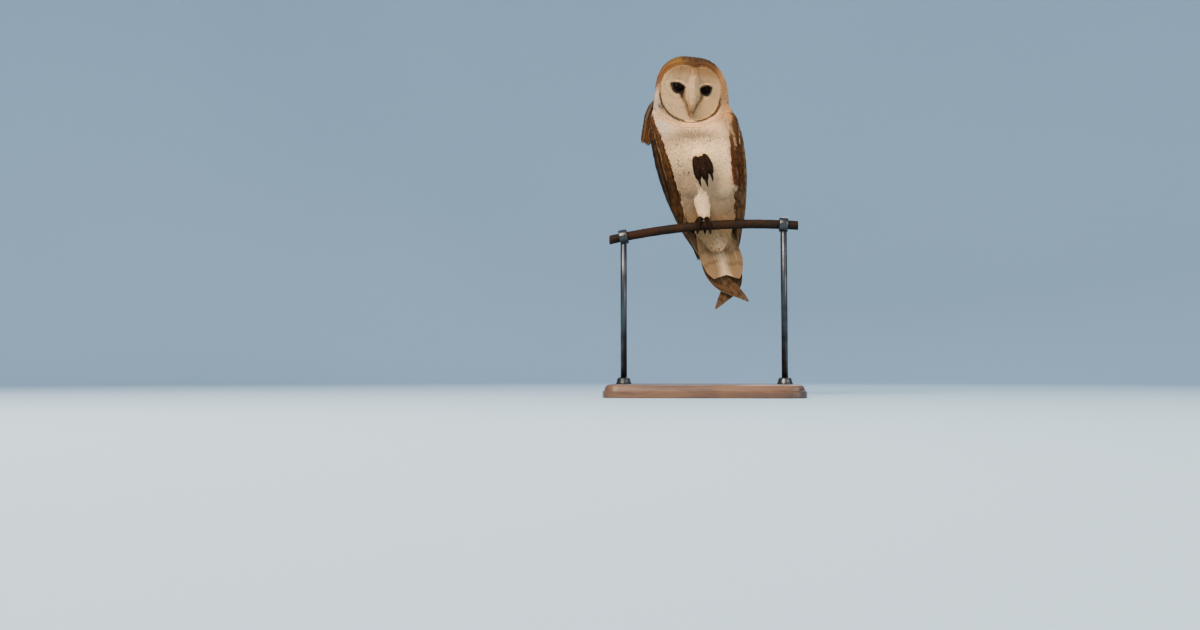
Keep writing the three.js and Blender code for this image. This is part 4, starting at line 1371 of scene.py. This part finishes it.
eyeFin, lidFin = eyeFinish(), lidFinish()
fringes = []
for side, s in sides.items():
    low, high = [fromScene(corner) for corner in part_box(f"eye_{side}")]
    centre, radius = (low + high) / 2, (high - low).max() / 2
    points, faces = ball(centre, radius)
    addMesh(f"eyeball_{side}", points, faces, eyeFin, [f"eye_{side}"])
    buildLid(side, s, centre, radius)
    fringes += lidFringe(s, centre, radius)
coatPiece("eye_fringe", fringes, plain)


def hornFinish(name, base, dark, roughness):
    f = Finish(name, roughness=roughness, specularIorLevel=0.15)
    grown = f.grain((1, 1, 0.25), 900, 3)
    worn = f.noise(260, 3).stretch(0.35, 0.7)
    return f.feed(bump=grown, height=0.0002, baseColor=f.blend(worn * 0.6 + grown * 0.3, base, dark))


billFin = hornFinish("bill_horn", tone("b58a62"), tone("8d6646"), 0.42)
for node in ("bill_upper", "bill_lower"):
    form = finerForm(node, 0.45, 4)
    addMesh(f"{node}_horn", form.points, form.faces, billFin, [node])

# Feet: scaled toes with hooked claws.
clawFin = hornFinish("claw_horn", tone("22150c"), tone("0f0905"), 0.4)


def toeFinish(name, glintShare):
    f = Finish(name, roughness=0.75, specularIorLevel=0.08)
    inputs = {"Vector": f.place(), "Scale": 700}
    cracks = f.node("ShaderNodeTexVoronoi", {"feature": "DISTANCE_TO_EDGE"}, inputs).stretch(0.02, 0.16)
    dirt = f.noise(240, 3).stretch(0.3, 0.7)
    skinTone = f.blend(dirt, tone("2f1a0a"), tone("190c05"))
    # pale flecks on the raised foot's scales are painted glints of light
    paintedGlints = f.noise(800, 2).stretch(0.6, 0.7) * glintShare
    skinTone = f.blend(paintedGlints, skinTone, hues["vent"] * 0.6)
    return f.feed(bump=cracks, height=0.0003, baseColor=f.blend(cracks, tone("0d0603"), skinTone))


toeFins = {"right": toeFinish("toe_skin", 0.0), "left": toeFinish("raised_toe_skin", 0.55)}
for side in sides:
    for toe in ("inner", "middle", "outer", "hind"):
        form = finerForm(f"toe_{side}_{toe}", 0.55, 5)
        p = form.points
        if side == "right":  # rings of scutes round the perch
            wave = np.degrees(np.arctan2(np.abs(p[:, 1]), p[:, 2])) / 11
        else:
            wave = (p[:, 2] - 0.25 * p[:, 0]) / 2.1
        fuller = 0.1 if side == "right" else 0.7
        p = p + form.normals * (0.28 * np.abs(np.sin(wave * pi)) - 0.2 + fuller)[:, None]
        addMesh(f"toe_skin_{side}_{toe}", p, form.faces, toeFins[side], [f"toe_{side}_{toe}"])
        form = finerForm(f"claw_{side}_{toe}", 0.4, 2)
        addMesh(f"claw_horn_{side}_{toe}", form.points, form.faces, clawFin, [f"claw_{side}_{toe}"])

# The sole of the clenched foot, behind its toes.
raised = {"at": (-3.5, -54.5, 84.5), "lean": 15, "nod": 15, "sole": (0.5, 0.5, -13), "size": (9, 3.5, 13)}
raisedTurn = np.array(turnBy(-raised["lean"], "Y") @ turnBy(raised["nod"], "X"))
points, faces = ball((0, 0, 0), 1)
points = (points @ headTurn * raised["size"] + raised["sole"]) @ raisedTurn.T + raised["at"]
addMesh("raised_sole", points, faces, toeFins["left"])


# Perch and stand.
def ironFinish():
    f = Finish("perch_iron", specularIorLevel=0.12)
    rust = f.noise(90, 6).stretch(0.45, 0.62)
    pits = f.noise(420, 4)
    colour = f.blend(rust, tone("1c120b"), tone("2c190d"))
    rough = rust * 0.2 + pits * 0.15 + 0.6
    return f.feed(bump=pits + rust * 0.4, height=0.0004, baseColor=colour, roughness=rough)


def steelFinish():
    f = Finish("stand_steel", metallic=0.9)
    brushed = f.grain((1, 1, 0.03), 900, 3)
    smudge = f.noise(45, 3).stretch(0.35, 0.7)
    return f.feed(bump=brushed, height=0.00008, roughness=brushed * 0.18 + smudge * 0.14 + 0.22,
                  baseColor=f.blend(smudge, tone("47494c"), tone("2f3133")))


def boardFinish():
    f = Finish("stand_board", coatWeight=0.25, coatRoughness=0.25)
    flow = f.noise(9, 2, output=1)
    bent = f.node("ShaderNodeMix", {"data_type": "VECTOR"}, {0: 0.03, 4: f.place(), 5: flow}, 1)
    rings = f.grain((2.5, 34, 34), 1.6, 4, bent)
    pores = f.grain((40, 900, 900), 1.0, 3).stretch(0.55, 0.75)
    colour = f.blend(rings.stretch(0.35, 0.65), tone("6b4a33"), tone("3b261a"))
    colour = f.blend(pores * 0.5, colour, tone("24160f"))
    bump = pores * -0.6 + rings * 0.2
    return f.feed(bump=bump, height=0.0003, baseColor=colour, roughness=rings * 0.15 + 0.35)


ironFin, steelFin, boardFin = ironFinish(), steelFinish(), boardFinish()
perch = {"radius": 6.5, "arc": 900, "crown": 58, "half": 132, "turns": 40}


def perchAt(x):
    rise = lambda v: np.sqrt(perch["arc"] ** 2 - (v - perch["crown"]) ** 2)
    return rise(x) - rise(0)


def buildPerch():
    x = np.linspace(-perch["half"], perch["half"], 90)
    x = np.concatenate([[x[0]] * 2, x[:1] + 0.7, x[1:-1], x[-1:] - 0.7, [x[-1]] * 2])
    share = np.ones(len(x))
    share[[0, -1]], share[[1, -2]] = 0.001, 0.9
    a = circle(perch["turns"])[None, :]
    x, share = x[:, None], share[:, None]
    knock = 0.09 * np.sin(x * 0.31 + 3 * np.sin(a)) + 0.06 * np.sin(x * 0.87 + 5 * np.cos(a))
    r = (perch["radius"] - 0.12 + knock) * share
    points = np.stack([x + 0 * a, r * np.cos(a), perchAt(x) + r * np.sin(a)], -1).reshape(-1, 3)
    faces = gridFaces(len(x), perch["turns"])[:, ::-1]
    addMesh("perch_rod", points, faces, ironFin, ["perch"])


def lathe(profile, count):  # points and faces turned from radii and heights
    a = circle(count)[None, :]
    r, h = np.array(profile, float).T[:, :, None]
    points = np.stack([r * np.cos(a), r * np.sin(a), h + 0 * a], -1)
    return points.reshape(-1, 3), gridFaces(len(profile), count)


def turned(name, profile, place, node, tip=None):  # upright, or along the perch and tipped with it
    points, faces = lathe(profile, 48)
    if tip is not None:
        points = np.stack([points[:, 2], points[:, 0], points[:, 1]], -1)
        points = points @ np.array(Matrix.Rotation(-tip, 3, "Y")).T
    addMesh(name, points + place, faces, steelFin, [node])


stand = {"x": 112, "rod": 4.5, "board": 18, "ferrule": (11, 9), "collar": (10.5, 12), "play": 0.1}


def buildStand():
    floor = -perchHeight
    for side, s in sides.items():
        x = stand["x"] * s
        top = fromScene(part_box(f"stand_rod_{side}")[1])[2]
        base = floor + stand["board"]
        r = stand["rod"]
        rod = [(0.01, base), (r, base), (r, top - 0.6), (r - 0.6, top), (0.01, top)]
        turned(f"upright_{side}", rod, (x, 0, 0), f"stand_rod_{side}")
        outer, tall = stand["ferrule"]
        bore = r + stand["play"]
        ring = [
            (bore, 0), (outer, 0), (outer, 1.2), (outer - 0.5, 1.8), (outer - 1, 2.6),
            (outer - 1.6, tall - 3), (outer - 2.6, tall - 1), (outer - 4, tall), (bore, tall), (bore, 0),
        ]
        turned(f"ferrule_{side}", ring, (x, 0, base), f"stand_ferrule_{side}")
        outer, wide = stand["collar"]
        half, bore = wide / 2, perch["radius"] + stand["play"]
        bevel = [(outer - 1, half), (outer - 0.3, half - 0.3), (outer, half - 1)]
        lower = [(away, -h) for away, h in [(bore, half), *bevel]]
        ring = [*lower, *bevel[::-1], (bore, half), (bore, -half)]
        slope = np.arctan((perchAt(x + 1) - perchAt(x - 1)) / 2)
        turned(f"collar_{side}", ring, (x, 0, perchAt(x)), f"stand_collar_{side}", slope)


def buildBoard():  # a rounded board with a moulded edge
    low, high = [fromScene(c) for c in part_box("stand_base")]
    w, d = (high - low)[:2] / 2
    corner, steps = 22, 12
    profile = [
        (40, 0), (1.2, 0), (0.3, 0.4), (0, 1.4), (0, 8), (0.9, 9.2), (2.2, 9.8), (2.6, 11), (3.4, 14),
        (5.2, 16.4), (8, 17.6), (11, 18), (40, 18),
    ]
    points = []
    for inset, h in profile:
        r = max(corner - inset, 0.5)
        for qx, qy, start in ((1, -1, -90), (1, 1, 0), (-1, 1, 90), (-1, -1, 180)):
            a = np.radians(start + np.linspace(0, 90, steps + 1))
            x, y = qx * (w - inset - r) + r * np.cos(a), qy * (d - inset - r) + r * np.sin(a)
            points.append(np.stack([x, y, np.full_like(x, low[2] + h)], -1))
    count = 4 * (steps + 1)
    ring, last = np.arange(count)[None], (len(profile) - 1) * count
    faces = [gridFaces(len(profile), count), ring[:, ::-1], ring + last]
    addMesh("base_board", np.vstack(points), faces, boardFin, ["stand_base"], smooth=False)


buildPerch()
buildStand()
buildBoard()
print("feet, perch and stand: done")


def finishOf(name, colour, **constants):
    f = Finish(name, **constants)
    grain = f.noise(1.2, 1).stretch(0.3, 0.7, 0.99, 1.01)
    return f.feed(baseColor=f.blend(1.0, colour, grain, "MULTIPLY"))


backdrop = {"flat": 2.4, "bend": 1.1, "height": 2.6, "colour": tone("a6c3da")}


def buildBackdrop():  # a pale floor that curves up into a wall all round, in metres
    flat, bend = backdrop["flat"], backdrop["bend"]
    a = np.linspace(0, pi / 2, 13)[1:]
    curved = zip(flat + bend * np.sin(a), bend * (1 - np.cos(a)))
    profile = [(0.001, 0), (0.6, 0), (1.5, 0), (flat, 0), *curved, (flat + bend, backdrop["height"])]
    points, faces = lathe(profile, 96)
    made = addObject("backdrop", newMesh("backdrop", fromScene(points), faces[:, ::-1]))
    made.data.materials.append(finishOf("backdrop", backdrop["colour"], roughness=0.9))


lamps = {
    "key": {"at": (-0.75, -1.35, 1.4), "size": 1.0, "power": 86, "tint": (1.0, 0.83, 0.64)},
    "fill": {"at": (1.4, -1.2, 0.7), "size": 1.4, "power": 30, "tint": (1.0, 0.88, 0.74)},
    "back": {"at": (0.5, 1.8, 1.9), "size": 1.2, "power": 22, "tint": (1.0, 0.97, 0.94)},
}


def light():
    for name, lamp in lamps.items():
        data = bpy.data.lights.new(name, "AREA")
        data.size, data.energy, data.color = lamp["size"], lamp["power"], lamp["tint"]
        made = addObject(name, data)
        made.location = lamp["at"]
        made.rotation_euler = (Vector((0, 0, 0.28)) - made.location).to_track_quat("-Z", "Y").to_euler()
        made.visible_camera = False
    world = bpy.data.worlds.new("sky")
    world.use_nodes = True
    sky = world.node_tree.nodes["Background"].inputs
    sky["Color"].default_value, sky["Strength"].default_value = (0.68, 0.85, 1.0, 1), 0.6
    bpy.context.scene.world = world


# The camera looks a little up at the owl from just above the floor, 1.5 m off.
view = {"distance": 1.5, "below": 8.0, "lens": 31.7, "up": 3.22, "left": 5.6}


def aim():
    data = bpy.data.cameras.new("camera")
    data.lens, data.sensor_width = view["lens"], 36
    camera = addObject("camera", data)
    low = radians(view["below"])
    camera.location = (0, -view["distance"] * cos(low), perchHeight * mm - view["distance"] * sin(low))
    camera.rotation_euler = (radians(90 + view["up"]), 0, radians(view["left"]))
    bpy.context.scene.camera = camera


buildBackdrop()
light()
aim()
